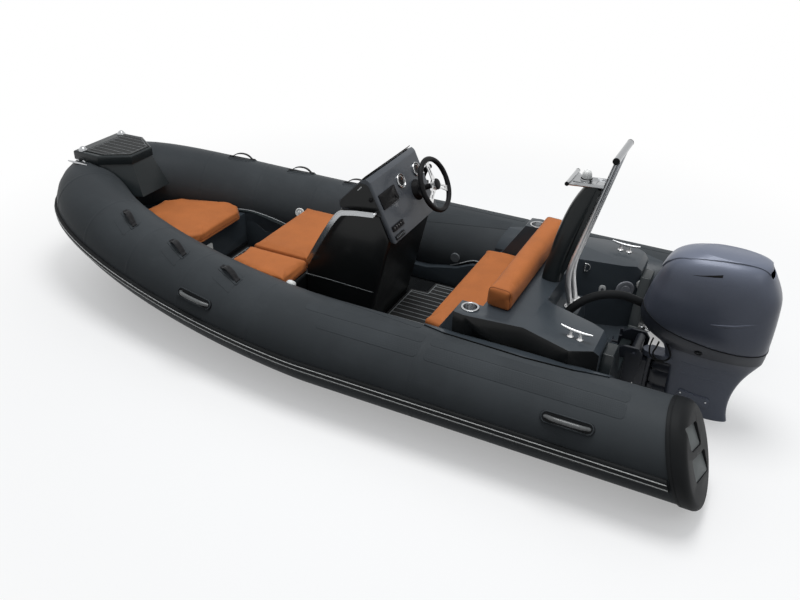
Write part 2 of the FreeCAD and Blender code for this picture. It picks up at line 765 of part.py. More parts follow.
def make_aft_moulding():
    aft = S.TransomThick
    floor = S.DeckHeight
    sides = slab([(aft, floor), (aft, S.QuarterAftHeight - S.QuarterBevel),
                  (aft + S.QuarterBevel, S.QuarterAftHeight),
                  (S.CupX, S.QuarterHeight), (S.QuarterFront, S.QuarterHeight),
                  (S.QuarterFront + 140, S.SeatHeight + 60), (S.SeatFront, S.SeatHeight),
                  (S.SeatFront, floor)], 780)
    plan = body("XY", both_ways([(aft - 1, 600), (200, 685), (465, 612), (S.CupX, 672), (S.QuarterFront, 660),
                                 (S.SeatFront + 1, 560)]), floor, 760)
    block = common(sides, plan)
    recess = body("XY", both_ways([(S.SeatBack, S.SeatHalfWidth), (S.SeatFront + 5, S.SeatHalfWidth)]),
                  S.SeatHeight, 760)
    well = body("XY", both_ways([(aft - 5, S.WellAftHalfWidth), (157, 362), (414, S.WellHalfWidth),
                                 (S.WellFront, S.WellHalfWidth - 25)]), S.WellFloor, 760)
    pedestal = box((300, 445), (-110, 110), (S.WellFloor - 5, 500))
    cups = [cylinder((S.CupX, side * S.CupY, S.QuarterHeight - S.CupDepth), "z", 200, S.CupRadius + 2)
            for side in (1, -1)]
    tools = [cut(well, pedestal)] + [recess] + cups
    hollow = cut(block, *tools)
    flange_shape = tube_shape(S.TubeRadius + S.FitGap + 8)
    flange_plan = body("XY", [(-40, 560), (-20, 690), (150, 735), (400, 752), (860, 730), (990, 690),
                              (1040, 560)], 300, 700)
    flange = common(feature(flange_shape, "FlangeForm"), flange_plan)
    flange = cut(flange, port_clear)
    moulding = cut(hollow, port_clear, starboard_clear)
    flange_cut = cut(flange, doc.getObjectsByLabel("transom")[0], *tools)
    whole = fuse(moulding, flange_cut, mirrored(flange_cut))
    node(whole, "aft_moulding")


def make_aft_seat():
    low = S.SeatHeight + 0.3
    top = S.SeatHeight + S.CushionThick
    cushion = body("XY", both_ways([(S.SeatBack + 1, S.SeatHalfWidth - 2), (S.SeatFront - 90, S.SeatHalfWidth - 2),
                                    (S.SeatFront + 16, S.SeatHalfWidth - 24)]), low, top)
    node(soften(cushion, 16, at_height(top)), "aft_seat_cushion")
    back_aft = S.SeatBack - S.BackrestDepth
    back_top = S.QuarterHeight + S.BackrestHeight
    roll = slab([(back_aft, quarter_level(back_aft) + 0.3), (back_aft + 8, back_top),
                 (S.SeatBack - 2, back_top), (S.SeatBack, quarter_level(S.SeatBack) + 0.3)],
                S.BackrestHalfWidth)
    node(soften(roll, 26, lambda edge: at_height(back_top)(edge)), "aft_backrest")


def make_cup_holders():
    cups = []
    for side in (1, -1):
        centre = (S.CupX, side * S.CupY)
        rim = cylinder((*centre, S.QuarterHeight + 0.3), "z", 4, S.CupRadius + 9)
        pot = cylinder((*centre, S.QuarterHeight - S.CupDepth + 2), "z", S.CupDepth, S.CupRadius + 1)
        bore = cylinder((*centre, S.QuarterHeight - S.CupDepth + 5), "z", 120, S.CupRadius - 2)
        cups.append(cut(fuse(rim, pot), bore))
    node(group(*cups), "cup_holders")


def make_cleats():
    x = 203
    deck = float(quarter_level(x)) + 0.3
    shape = cleat(x, 555, deck, 172, -5)
    slope = float(quarter_level(x + 1)) - float(quarter_level(x))
    shape.rotate(vector(x, 555, deck), vector(0, 1, 0), -math.degrees(math.atan(slope)))
    port = feature(shape, "Cleat")
    node(both_sides(port), "stern_cleats")


make_aft_moulding()
make_aft_seat()
make_cup_holders()
make_cleats()


# Console

DASH_TILT = math.atan2(float(S.DashTopX - S.DashFootX), float(S.DashTop - S.DashFoot))
DASH_UP = vector(math.sin(DASH_TILT), 0, math.cos(DASH_TILT))
DASH_OUT = vector(-math.cos(DASH_TILT), 0, math.sin(DASH_TILT))
DASH_FOOT = vector(S.DashFootX, 0, S.DashFoot)


def on_dash(shape, up, across, out=0.0):
    """Turn a shape built on Z = 0 so that it sits on the dash.

    Its X axis runs to starboard, its Y axis up the dash and its Z axis out of it.
    """
    turn = FreeCAD.Rotation(vector(0, -1, 0), DASH_UP, DASH_OUT, "ZYX")
    foot = DASH_FOOT + DASH_UP * float(up) + DASH_OUT * float(out) + vector(0, across, 0)
    shape.Placement = FreeCAD.Placement(foot, turn)
    return shape


def make_console():
    half = S.ConsoleHalfWidth
    main = slab([(S.ConsoleFootAft, S.DeckHeight), (S.ConsoleAft, S.DashFoot + 5),
                 (S.ConsoleAft + 72, S.PodFrontHeight - 45), (S.PodFrontX - 12, S.PodFrontHeight - 45),
                 (S.ConsoleFront - 8, 470), (S.ConsoleFront, S.DeckHeight)], half)
    soften(main, 22, lambda edge: edge.BoundBox.YLength < 1 and edge.BoundBox.ZLength > 60
           and edge.BoundBox.XMax < float(S.ConsoleFootAft) + 1)
    node(main, "console")
    pod = slab([(S.DashFootX, S.DashFoot), (S.DashTopX, S.DashTop), (S.DashTopX + 28, S.DashTop + 18),
                (S.DashTopX + 62, S.DashTop + 2), (S.PodFrontX, S.PodFrontHeight),
                (S.PodFrontX - 8, S.PodFrontHeight - 44.7), (S.ConsoleAft + 71.7, S.PodFrontHeight - 44.7),
                (S.ConsoleAft - 0.3, S.DashFoot + 5)], half + 4)
    soften(pod, 12, lambda edge: edge.BoundBox.YLength < 1 and edge.BoundBox.XMax < float(S.DashTopX) + 1
           and edge.BoundBox.ZMax > float(S.DashFoot) + 100)
    node(pod, "console_pod")


def make_dash_gear():
    screen = on_dash(Part.makeBox(196, 92, 6, vector(-98, -46, 0)), 250, 180, 0.2)
    node(feature(screen, "Screen"), "dash_display")
    dials = []
    for across in (-6, -222):
        dials.append(on_dash(Part.makeCylinder(44, 9), 285, across, 0.2))
    node(feature(Part.makeCompound(dials), "Dials"), "dash_gauges")
    switches = on_dash(Part.makeBox(140, 34, 7, vector(-70, -17, 0)), 78, 205, 0.2)
    keys = on_dash(Part.makeBox(112, 26, 7, vector(-56, -13, 0)), 24, 222, 0.2)
    node(feature(Part.makeCompound([switches, keys]), "Switches"), "switch_panels")


def make_console_rails():
    """Grab rails down both front edges of the console."""
    y = S.ConsoleHalfWidth + 36
    points = [(1490, y, 938), (1600, y, 925), (1712, y, 902), (1830, y, 725), (1942, y, 520)]
    bar = rod_shape(points, 11)
    feet = []
    for x, z in ((1530, 933), (1700, 905), (1925, 551)):
        feet.append(Part.makeCylinder(9, 36, vector(x, float(y) - 36 + 0.3, z), vector(0, 1, 0)))
    pod = doc.getObjectsByLabel("console_pod")[0].Shape.translated(vector(0, 0.3, 0))
    node(both_sides(feature(bar.fuse(feet).cut(pod), "Rail")), "console_rails")


def make_visor():
    """A low smoked screen along the top and front of the pod."""
    half = float(S.ConsoleHalfWidth) - 6
    foot = S.DashTop + 3
    screen = slab([(S.DashTopX + 60, foot), (S.DashTopX + 34, foot + 26), (S.DashTopX + 38, foot + 28),
                   (S.DashTopX + 66, foot - 1)], half)
    node(cut(screen, doc.getObjectsByLabel("console_pod")[0]), "console_visor")


def make_throttle():
    """Remote control on the starboard side of the console: a small control with no joint."""
    y = -float(S.ConsoleHalfWidth + 4) - 0.3
    case = Part.makeBox(96, 42, 120, vector(1452, y - 42, 800))
    case = case.makeFillet(14, case.Edges[8:12])
    hub = Part.makeCylinder(26, 22, vector(1500, y - 42, 872), vector(0, -1, 0))
    arm = rod_shape([(1500, y - 55, 872), (1492, y - 58, 930), (1470, y - 58, 985)], 9)
    grip = Part.makeCylinder(16, 74, vector(1470, y - 88, 990), vector(0, 1, 0))
    node(feature(case.fuse([hub, arm, grip]), "Throttle"), "throttle_control")


make_console()
make_dash_gear()
make_console_rails()
make_visor()
make_throttle()


# Helm

def make_helm():
    up, across = S.HelmAlong, S.HelmOffset
    bezel = Part.makeCone(66, 52, 34)
    shaft = Part.makeCylinder(17, float(S.WheelStandoff) - 12.3 - 33, vector(0, 0, 33))
    node(feature(on_dash(bezel.fuse(shaft), up, across, 0.3), "Helm"), "helm_hub")
    radius, rim = float(S.WheelRadius), float(S.WheelRim)
    standoff = float(S.WheelStandoff)
    ring = Part.makeTorus(radius - rim, rim)
    node(feature(on_dash(ring, up, across, standoff), "Rim"), "wheel_rim")
    centre = Part.makeCylinder(34, 24, vector(0, 0, -12))
    spokes = []
    for turn in (90, 210, 330):
        arm = Part.makeLoft([
            Part.makePolygon([vector(where, -wide, -3), vector(where, wide, -3), vector(where, wide, 3),
                              vector(where, -wide, 3), vector(where, -wide, -3)])
            for where, wide in ((20, 22), (80, 15), (radius - 1.9 * rim, 19))
        ], True, True)
        slot = Part.makeBox(56, 12, 20, vector(58, -6, -10))
        arm = arm.cut(slot)
        arm.rotate(vector(0, 0, 0), vector(0, 0, 1), turn)
        spokes.append(arm)
    spider = centre.fuse(spokes).cut(Part.makeTorus(radius - rim, rim + 0.01))
    node(feature(on_dash(spider, up, across, standoff), "Spider"), "wheel_spokes")


make_helm()


# Mast

def make_mast():
    """Two steel legs with a cross bar on top, a light arm and a fairing in front."""
    y = float(S.MastSpread)
    top = float(S.MastTop)
    foot = (357, 502)
    bend = (403, 706)
    head = (218, top)
    legs = []
    for side in (y, -y):
        leg = rod_shape([(foot[0], side, foot[1]), (bend[0], side, bend[1]), (head[0], side, head[1])], S.MastTube)
        plate = Part.makeCylinder(34, 8, vector(foot[0], side, foot[1] - 1.7))
        arm = Part.makeCylinder(11, 205, vector(473, side, 1243), vector(-1, 0, 0.08))
        legs += [leg, plate, arm]
    bar = Part.makeCylinder(float(S.MastTube) + 2, 2 * float(S.MastBarHalf),
                            vector(218, -float(S.MastBarHalf), top), vector(0, 1, 0))
    brace = Part.makeCylinder(9, 2 * y, vector(377, -y, 810), vector(0, 1, 0))
    tray = Part.makeBox(120, 2 * y, 5, vector(325, -y, 1258))
    deck = doc.getObjectsByLabel("aft_moulding")[0].Shape.translated(vector(0, 0, 0.3))
    frame = legs[0].fuse(legs[1:] + [bar, brace, tray]).cut(deck)
    node(feature(frame, "Mast"), "mast_frame")
    light = Part.makeCylinder(30, 12, vector(385, 0, 1263.3)).fuse(
        [Part.makeCylinder(22, 34, vector(385, 0, 1275)), Part.makeSphere(22, vector(385, 0, 1309))])
    node(feature(light, "Light"), "mast_light")
    low = float(quarter_level(S.WellFront + 60)) - 6
    sections = []
    for front, aft, half, z in ((552, 436, 72, low), (523, 411, 66, 820), (475, 353, 61, 1030),
                                (422, 314, 58, 1170), (372, 292, 55, 1252)):
        middle = (front + aft) / 2
        centre = vector(middle, 0, z)
        sections.append(smooth_ring(ring_points(centre, vector(1, 0, 0), vector(0, 1, 0),
                                                (front - aft) / 2, half, 3.0)))
    fairing = Part.makeLoft(sections, True, False)
    node(feature(fairing.cut([frame, deck]), "Fairing"), "mast_fairing")


make_mast()


# Outboard engine

def make_clamp():
    """Clamp bracket on the transom, with the tilt tube."""
    x, z = float(S.TiltX), float(S.TiltZ)
    inner = float(S.ClampHalfWidth)
    thick = float(S.ClampThick)
    plates = []
    for side in (1, -1):
        low = inner if side > 0 else -inner - thick
        profile = Part.makePolygon([vector(px, low, pz) for px, pz in (
            (-0.2, 60), (-0.2, 302.5), (62, 302.5), (62, 345), (10, 378), (-70, 378), (-96, 340), (-88, 240),
            (-46, 60), (-0.2, 60))])
        plate = Part.Face(profile).extrude(vector(0, thick, 0))
        hook = Part.makeBox(16, thick + 26, 90, vector(float(S.TransomThick) + 0.3, low - 13, 232))
        hook = hook.fuse(Part.makeBox(16, thick, 60, vector(float(S.TransomThick) + 0.3, low, 300)))
        screw = Part.makeCylinder(9, 48, vector(float(S.TransomThick) + 10, low + thick / 2, 262), vector(1, 0, 0))
        handle = Part.makeCylinder(5, 74, vector(float(S.TransomThick) + 54, low + thick / 2 - 37, 262),
                                   vector(0, 1, 0))
        plates.append(plate.fuse([hook, screw, handle]))
    pin = Part.makeCylinder(float(S.TiltPin), 2 * (inner + thick) + 40, vector(x, -inner - thick - 20, z),
                            vector(0, 1, 0))
    bracket = plates[0].fuse([plates[1], pin])
    node(feature(bracket, "Clamp"), "clamp_bracket")


def make_swivel():
    """Swivel bracket: it tilts on the tilt tube and carries the steering shaft."""
    x, z = float(S.TiltX), float(S.TiltZ)
    half = float(S.ClampHalfWidth - S.SideGap)
    boss = Part.makeCylinder(26, 2 * half, vector(x, -half, z), vector(0, 1, 0))
    sx = float(S.SwivelX)
    tube = Part.makeCylinder(float(S.SwivelRadius), 355, vector(sx, 0, -62))
    web = Part.makePolygon([vector(px, 0, pz) for px, pz in (
        (x + 12, z - 20), (x - 22, z - 14), (x - 24, 291), (sx, 291), (sx, -30), (sx + 22, -30), (x + 12, z - 80),
        (x + 12, z - 20))])
    web = Part.Face(web).extrude(vector(0, 2 * half * 0.78, 0))
    web.translate(vector(0, -half * 0.78, 0))
    shell = boss.fuse([tube, web])
    shell = shell.cut([Part.makeCylinder(float(S.TiltPin + S.PinGap), 4 * half, vector(x, -2 * half, z),
                                         vector(0, 1, 0)),
                       Part.makeCylinder(float(S.SwivelPin + S.PinGap), 500, vector(sx, 0, -150))])
    node(feature(shell, "Swivel"), "swivel_bracket")


# Outlines of the engine housing at nine heights: share of the height from the
# bottom of the pan to the top of the cowl, then front, aft and side as shares.
COWL_STATIONS = (
    (0.000, 0.189, 0.982, 0.55, 2.5),
    (0.120, 0.066, 0.994, 0.79, 2.6),
    (0.239, 0.004, 0.998, 0.94, 2.7),
    (0.393, 0.003, 1.000, 1.00, 2.7),
    (0.581, 0.040, 0.996, 0.99, 2.7),
    (0.764, 0.095, 0.957, 0.94, 2.7),
    (0.884, 0.150, 0.902, 0.83, 2.7),
    (0.961, 0.242, 0.865, 0.65, 2.6),
    (1.000, 0.357, 0.771, 0.42, 2.4),
)


def housing_shape(inset):
    """The smooth housing of the engine, its faces moved in by the inset."""
    length = float(S.CowlFront - S.CowlAft)
    height = float(S.CowlTop - S.PanBottom)
    wires = []
    for level, front, aft, side, power in COWL_STATIONS:
        x_front = float(S.CowlFront) - length * front - inset
        x_aft = float(S.CowlFront) - length * aft + inset
        z = float(S.PanBottom) + height * level
        if level in (0.0, 1.0):
            z += inset if level == 0.0 else -inset
        centre = vector((x_front + x_aft) / 2, 0, z)
        points = ring_points(centre, vector(1, 0, 0), vector(0, 1, 0), (x_front - x_aft) / 2,
                             float(S.CowlHalfWidth) * side - inset, power, 20)
        wires.append(smooth_ring(points))
    return Part.makeLoft(wires, True, False)


def above_seam(lift):
    """Everything above the seam between the pan and the cowl."""
    seam = ((60, 690), (-35, 655), (-183, 587), (-300, 557), (-442, 533), (-574, 523), (-800, 518))
    corners = [vector(x, -400, z + lift) for x, z in seam]
    corners += [vector(-800, -400, 1500), vector(60, -400, 1500)]
    return Part.Face(Part.makePolygon(corners + [corners[0]])).extrude(vector(0, 800, 0))


def make_engine():
    wall = float(S.CowlWall)
    outer = housing_shape(0.0)
    cowl = outer.common(above_seam(0.4))
    cowl = cowl.cut(housing_shape(wall).common(above_seam(-20)))
    plan = [(-80, 28), (-129, 66), (-226, 98), (-330, 102), (-438, 94), (-556, 78), (-616, 72)]
    plan = [vector(x, y, 880) for x, y in plan] + [vector(x, -y, 880) for x, y in reversed(plan)]
    crown = Part.Face(Part.makePolygon(plan + plan[:1])).extrude(vector(0, 0, 200)).common(housing_shape(-7.0))
    cowl = cowl.fuse(crown.cut(housing_shape(1.0)))
    intake = Part.makeBox(100, 132, 34, vector(-700, -66, 953))
    intake = intake.makeFillet(14, [edge for edge in intake.Edges if along("x")(edge)])
    cowl = cowl.cut(intake)
    node(feature(cowl, "Cowl"), "engine_cowl")
    pan = outer.cut(above_seam(0.0))
    node(feature(pan, "Pan"), "engine_pan")
    block = Part.makeBox(400, 260, 330, vector(-560, -130, 540)).common(above_seam(0.4))
    node(feature(block, "Block"), "engine_block")


def make_leg():
    """Midsection, with the steering shaft held by an upper and a lower yoke."""
    wires = []
    for front, aft, half, z in ((-160, -700, 105, float(S.PanBottom) - 0.3), (-188, -678, 84, 388),
                                (-204, -640, 66, 320), (-222, -597, 54, 190), (-236, -593, 46, 60),
                                (-242, -626, 42, -45), (-246, -700, 40, -150),
                                (-250, -734, 38, float(S.PlateHeight))):
        centre = vector((front + aft) / 2, 0, z)
        wires.append(smooth_ring(ring_points(centre, vector(1, 0, 0), vector(0, 1, 0),
                                             (front - aft) / 2, half, 2.3, 20)))
    leg = Part.makeLoft(wires, True, False)
    sx = float(S.SwivelX)
    upper = Part.makeBox(150, 96, 34, vector(sx - 150, -48, 303)).fuse(
        Part.makeCylinder(38, 34, vector(sx, 0, 303)))
    lower = Part.makeBox(150, 60, 30, vector(sx - 150, -30, -104)).fuse(
        Part.makeCylinder(34, 30, vector(sx, 0, -104)))
    shaft = Part.makeCylinder(float(S.SwivelPin), 420, vector(sx, 0, -100))
    node(feature(leg.fuse([upper, lower, shaft]), "Leg"), "engine_leg")


def make_gearcase():
    z = float(S.PropShaft)
    nose = float(S.SwivelX) - 100
    profile = ((nose, 0), (nose - 18, 24), (nose - 70, 46), (nose - 150, 54),
               (float(S.PropFront) + 60, 52), (float(S.PropFront) + 4, float(S.HubRadius) - 1),
               (float(S.PropFront) + 4, 0))
    curve = Part.BSplineCurve()
    curve.interpolate(Points=[vector(x, 0, z + r) for x, r in profile[:-1]])
    edges = [curve.toShape(),
             Part.LineSegment(vector(profile[-2][0], 0, z + profile[-2][1]), vector(profile[-1][0], 0, z)).toShape(),
             Part.LineSegment(vector(profile[-1][0], 0, z), vector(nose, 0, z)).toShape()]
    bullet = Part.Face(Part.Wire(edges)).revolve(vector(0, 0, z), vector(1, 0, 0), 360)
    strut = Part.makeLoft([
        smooth_ring(ring_points(vector((front + aft) / 2, 0, level), vector(1, 0, 0), vector(0, 1, 0),
                                (front - aft) / 2, half, 2.2, 16))
        for front, aft, half, level in ((-246, -640, 34, float(S.PlateHeight) - 8), (-250, -560, 26, -290),
                                        (-240, -520, 28, z))], True, False)
    plate = Part.makePolygon([vector(x, y, float(S.PlateHeight) - 9) for x, y in (
        (-250, 0), (-290, 62), (-380, 112), (-640, 128), (float(S.PlateAft), 96), (float(S.PlateAft), -96),
        (-640, -128), (-380, -112), (-290, -62), (-250, 0))])
    plate = Part.Face(plate).extrude(vector(0, 0, 9))
    skeg = Part.Face(Part.makePolygon([vector(x, -6, height) for x, height in (
        (-300, z - 30), (-392, float(S.SkegBottom)), (-500, float(S.SkegBottom)), (-520, z - 30),
        (-300, z - 30))])).extrude(vector(0, 12, 0))
    node(feature(bullet.fuse([strut, plate, skeg]), "Gearcase"), "gearcase")


def make_propeller():
    """Three twisted blades on a hub, turning about the shaft line."""
    z = float(S.PropShaft)
    front = float(S.PropFront)
    hub = Part.makeCone(float(S.HubRadius), float(S.HubRadius) + 4, 118, vector(front, 0, z), vector(-1, 0, 0))
    pitch = 400.0
    blades = []
    for turn in (0, 120, 240):
        wires = []
        for radius, chord, thick in ((30, 80, 9), (80, 120, 7), (125, 118, 5), (float(S.PropRadius) - 5, 62, 3)):
            twist = math.atan2(pitch, 2 * math.pi * radius)
            way = vector(-math.sin(twist), math.cos(twist), 0)
            across = vector(math.cos(twist), math.sin(twist), 0)
            centre = vector(front - 58, 0, z + radius)
            wires.append(smooth_ring(ring_points(centre, way, across, chord / 2, thick / 2, 2.0, 12)))
        blade = Part.makeLoft(wires, True, False)
        blade.rotate(vector(0, 0, z), vector(1, 0, 0), turn)
        blades.append(blade)
    shaft = Part.makeCylinder(12, 30, vector(front + 3.6, 0, z), vector(-1, 0, 0))
    node(feature(hub.fuse(blades + [shaft]), "Propeller"), "propeller")


make_clamp()
make_swivel()
make_engine()
make_leg()
make_gearcase()
make_propeller()


# Fittings

def make_handles():
    """Moulded carry handles on the outside of the tubes and straps on top."""
    moulded = []
    for x, turn_up in ((2330, 27), (90, 31)):
        moulded.append(tube_fitting(x, turn_up, handle_shape(float(S.HandleLength), 62, 34)))
    port = feature(Part.makeCompound(moulded), "CarryHandles")
    node(both_sides(port), "carry_handles")
    straps = []
    for x in (2240, 2680, 3140):
        straps.append(tube_fitting(x, 80, strap_shape()))
    port = feature(Part.makeCompound(straps), "Straps")
    node(both_sides(port), "strap_handles")


def handle_shape(length, width, rise):
    """A grip over a base plate, along X, standing on Z = 0."""
    base = Part.makeBox(length, width, 11, vector(-length / 2, -width / 2, -4))
    base = base.makeFillet(width * 0.42, [edge for edge in base.Edges if along("z")(edge)])
    grip = rod_shape([(-length * 0.40, 0, 4), (-length * 0.28, 0, rise), (length * 0.28, 0, rise),
                      (length * 0.40, 0, 4)], 9)
    return base.fuse(grip)


def strap_shape():
    length, width, rise = float(S.StrapLength), float(S.StrapWidth), float(S.StrapRise)
    half = length / 2
    outer = Part.Arc(vector(-half * 0.72, 0, 4), vector(0, 0, rise), vector(half * 0.72, 0, 4))
    inner = Part.Arc(vector(-half * 0.72 + 7, 0, 3), vector(0, 0, rise - 5), vector(half * 0.72 - 7, 0, 3))
    face = Part.Face(Part.Wire([
        outer.toShape(), Part.LineSegment(outer.EndPoint, inner.EndPoint).toShape(), inner.toShape(),
        Part.LineSegment(inner.StartPoint, outer.StartPoint).toShape()]))
    loop = face.extrude(vector(0, width, 0))
    loop.translate(vector(0, -width / 2, 0))
    base = Part.makeBox(length, width + 22, 9, vector(-half, -(width + 22) / 2, -4))
    return base.fuse(loop)


def tube_fitting(x, turn_up, shape):
    """Seat a shape on the port tube, at x along the boat and turned up from the side."""
    if x <= float(S.TubeBowStart):
        point, way = vector(x, S.TubeHalfBeam, S.TubeAxisHeight), vector(1, 0, 0)
    else:
        step = min(range(4, 360), key=lambda one: abs(tube_axis(one / 4).x - x)) / 4
        point = tube_axis(step)
        way = (tube_axis(step + 0.5) - tube_axis(step - 0.5)).normalize()
    outward, up = tube_frame(way)
    angle = math.radians(turn_up)
    normal = outward * math.cos(angle) + up * math.sin(angle)
    side = normal.cross(way)
    turn = FreeCAD.Rotation(way, side, normal, "ZXY")
    seat = point + normal * float(S.TubeRadius)
    shape.Placement = FreeCAD.Placement(seat, turn)
    return shape.cut(port_clear.Shape)


make_handles()


def eye_plate(seat, pitch, roll=0):
    """A drilled lug on a round base. At pitch 0 it stands forward of its seat."""
    base = Part.makeCylinder(27, 7, vector(0, 0, 0), vector(1, 0, 0))
    lug = Part.makeBox(34, 10, 44, vector(3, -5, -22)).fuse(
        Part.makeCylinder(22, 10, vector(37, -5, 0), vector(0, 1, 0)))
    lug = lug.cut(Part.makeCylinder(float(S.EyeBore), 30, vector(37, -15, 0), vector(0, 1, 0)))
    plate = base.fuse(lug)
    plate.rotate(vector(0, 0, 0), vector(1, 0, 0), roll)
    plate.rotate(vector(0, 0, 0), vector(0, 1, 0), pitch)
    plate.translate(vector(*seat))
    return plate


def hull_stem(height):
    """The point of the stem at a height above the waterline."""
    fore = ((height + float(S.KeelDepth)) / float(S.StemRise)) ** (1 / 2.4)
    x = float(S.KeelFlat) + (float(S.StemEnd) - float(S.KeelFlat)) * fore
    return (x + 4, 0, height)


def stem_slope(height):
    """The pitch of a line square to the stem, forward and down."""
    step = hull_stem(height + 1)[0] - hull_stem(height - 1)[0]
    return math.atan(step / 2)


def make_small_fittings():
    """Valves, well fittings and tow eyes."""
    discs = []
    for x in (1308, 2600):
        step = min(range(4, 360), key=lambda one: abs(tube_axis(one / 4).x - x)) / 4
        point = tube_axis(step) if x > float(S.TubeBowStart) else vector(x, S.TubeHalfBeam, S.TubeAxisHeight)
        outward = tube_frame(vector(1, 0, 0))[0]
        start = point - outward * (float(S.TubeRadius) - 8)
        discs.append(Part.makeCylinder(33, 20, start, outward * -1).cut(
            Part.makeCylinder(float(S.TubeRadius) + 0.4, 400, point - vector(200, 0, 0), vector(1, 0, 0))))
    node(both_sides(feature(Part.makeCompound(discs[:1]), "Valves")), "tube_valves")
    eyes = [eye_plate((-0.3, -430, 190), 180, 90), eye_plate((-0.3, 430, 190), 180, 90)]
    stem = hull_stem(60)
    pitch = math.degrees(stem_slope(60))
    saddle = Part.makeCylinder(27, 14, vector(-13.9, 0, 0), vector(1, 0, 0))
    saddle.rotate(vector(0, 0, 0), vector(0, 1, 0), pitch)
    saddle.translate(vector(*stem))
    stem_shape = doc.getObjectsByLabel("hull_shell")[0].Shape.translated(vector(0.3, 0, -0.2))
    eyes.append(eye_plate(stem, pitch).fuse(saddle).removeSplitter().cut(stem_shape))
    node(feature(Part.makeCompound(eyes), "TowEyes"), "tow_eyes")


make_small_fittings()


# Corners of the rigging hose, from the well floor over to the front of the engine.
HOSE_ROUTE = [
    (403, 178, 200.9), (403, 176, 330), (395, 168, 405), (372, 155, 477), (335, 138, 543), (283, 116, 597),
    (220, 88, 635), (147, 58, 652), (72, 26, 648), (5, 5, 623), (-45, -10, 604),
]


def make_hose():
    """The thick rigging hose. It is trimmed to the front of the engine pan."""
    tube = rod_shape(HOSE_ROUTE, S.HoseRadius)
    radius = float(S.HoseRadius)
    bends = [edge.Curve.Radius for edge in rod_path(HOSE_ROUTE).Edges if hasattr(edge.Curve, "Radius")]
    print("hose bends, mm:", [round(bend) for bend in bends])
    share = tube.Volume / (math.pi * radius * radius * rod_path(HOSE_ROUTE).Length)
    print(f"hose volume over section times length: {share:.4f}")
    pan = doc.getObjectsByLabel("engine_pan")[0].Shape.translated(vector(0.6, 0, 0))
    node(feature(tube.cut(pan), "Hose"), "rigging_hose")


make_hose()


# Check everything, then write one file for each sub-part

doc.recompute()
for obj in doc.Objects:
    if "Invalid" in obj.State or "Error" in obj.State:
        raise RuntimeError(f"{obj.Label} failed: {obj.State}")
for obj in NODES:
    shape = obj.Shape
    if shape.isNull() or not shape.isValid() or not shape.Solids:
        raise RuntimeError(f"{obj.Label} has no valid shape")
os.makedirs("parts", exist_ok=True)
for obj in NODES:
    obj.Shape.exportStep(f"parts/{obj.Label}.step")
    print(f"{obj.Label}: {len(obj.Shape.Solids)} solids, {obj.Shape.Volume / 1e6:.3f} litres")
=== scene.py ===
# %% [markdown]
# # A rigid inflatable boat, afloat
# A boat of this kind is a moulded hull with a big air tube down each side. The packed
# model gives every solid at its true place, so this script only dresses it: smooth
# skins over the tubes, cushions, stitched straps, chrome and paint. Everything is in
# metres, with +X to the bow, +Y to port and the water at Z = 0.
#
# Each step says what the real piece is, how it could be made in Blender, and why it is
# made this way.

import json
import math

import bmesh
import bpy
import numpy as np
from mathutils import Matrix, Vector
from mathutils.bvhtree import BVHTree


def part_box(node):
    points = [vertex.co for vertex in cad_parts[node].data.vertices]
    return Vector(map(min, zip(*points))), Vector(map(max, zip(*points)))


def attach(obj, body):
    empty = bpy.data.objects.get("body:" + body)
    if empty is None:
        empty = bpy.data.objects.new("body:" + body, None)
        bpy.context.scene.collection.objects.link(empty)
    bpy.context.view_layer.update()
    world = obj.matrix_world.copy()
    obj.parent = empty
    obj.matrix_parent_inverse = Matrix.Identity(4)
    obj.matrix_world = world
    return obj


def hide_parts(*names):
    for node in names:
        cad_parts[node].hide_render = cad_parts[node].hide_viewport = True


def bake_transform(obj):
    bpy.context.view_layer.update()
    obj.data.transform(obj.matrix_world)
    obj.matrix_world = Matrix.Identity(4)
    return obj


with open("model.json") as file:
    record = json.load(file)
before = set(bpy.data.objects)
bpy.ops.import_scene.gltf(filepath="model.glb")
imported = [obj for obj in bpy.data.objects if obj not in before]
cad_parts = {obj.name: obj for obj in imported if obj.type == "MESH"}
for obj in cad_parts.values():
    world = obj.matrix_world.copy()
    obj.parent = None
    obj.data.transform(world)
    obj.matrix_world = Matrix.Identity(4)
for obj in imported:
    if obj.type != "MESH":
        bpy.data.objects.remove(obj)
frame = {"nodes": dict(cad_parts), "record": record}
NODES = frame["nodes"]
SLOT_OF = {part["node"]: part["material_slot"] for part in frame["record"]["subparts"]}
SLOTS = {part["slot"] for part in frame["record"]["materials"]}
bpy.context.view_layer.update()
print("solids loaded:", len(NODES), "slots:", len(SLOTS))

# %% [markdown]
# ## Camera
# The boat is seen from above its port quarter. A Track To constraint would aim the
# camera, but it can't give the picture's slight roll. So the camera's axes come from
# three angles, fitted to the tubes, whose size is known.

# %% Camera
UP = Vector((0, 0, 1))
EYE = Vector((-0.4905, 4.1328, 2.9303))
YAW, PITCH, ROLL = (math.radians(angle) for angle in (-64.676, -30.804, 1.726))
LENS, SENSOR, SEES_AS_FAR_AS = 36.95, 36.0, 400


def linked(name, data):
    """An object on the data, linked to the scene."""
    made = bpy.data.objects.new(name, data)
    bpy.context.scene.collection.objects.link(made)
    return made


forward = Vector((math.cos(YAW) * math.cos(PITCH), math.sin(YAW) * math.cos(PITCH), math.sin(PITCH)))
level = forward.cross(UP).normalized()
above = level.cross(forward)
right = level * math.cos(ROLL) + above * math.sin(ROLL)
top = above * math.cos(ROLL) - level * math.sin(ROLL)
lens = bpy.data.cameras.new("Camera")
lens.lens, lens.sensor_width, lens.clip_end = LENS, SENSOR, SEES_AS_FAR_AS
camera = linked("Camera", lens)
camera.matrix_world = Matrix.Translation(EYE) @ Matrix((right, top, -forward)).transposed().to_4x4()
bpy.context.scene.camera = camera
print("camera at", [round(v, 2) for v in EYE])

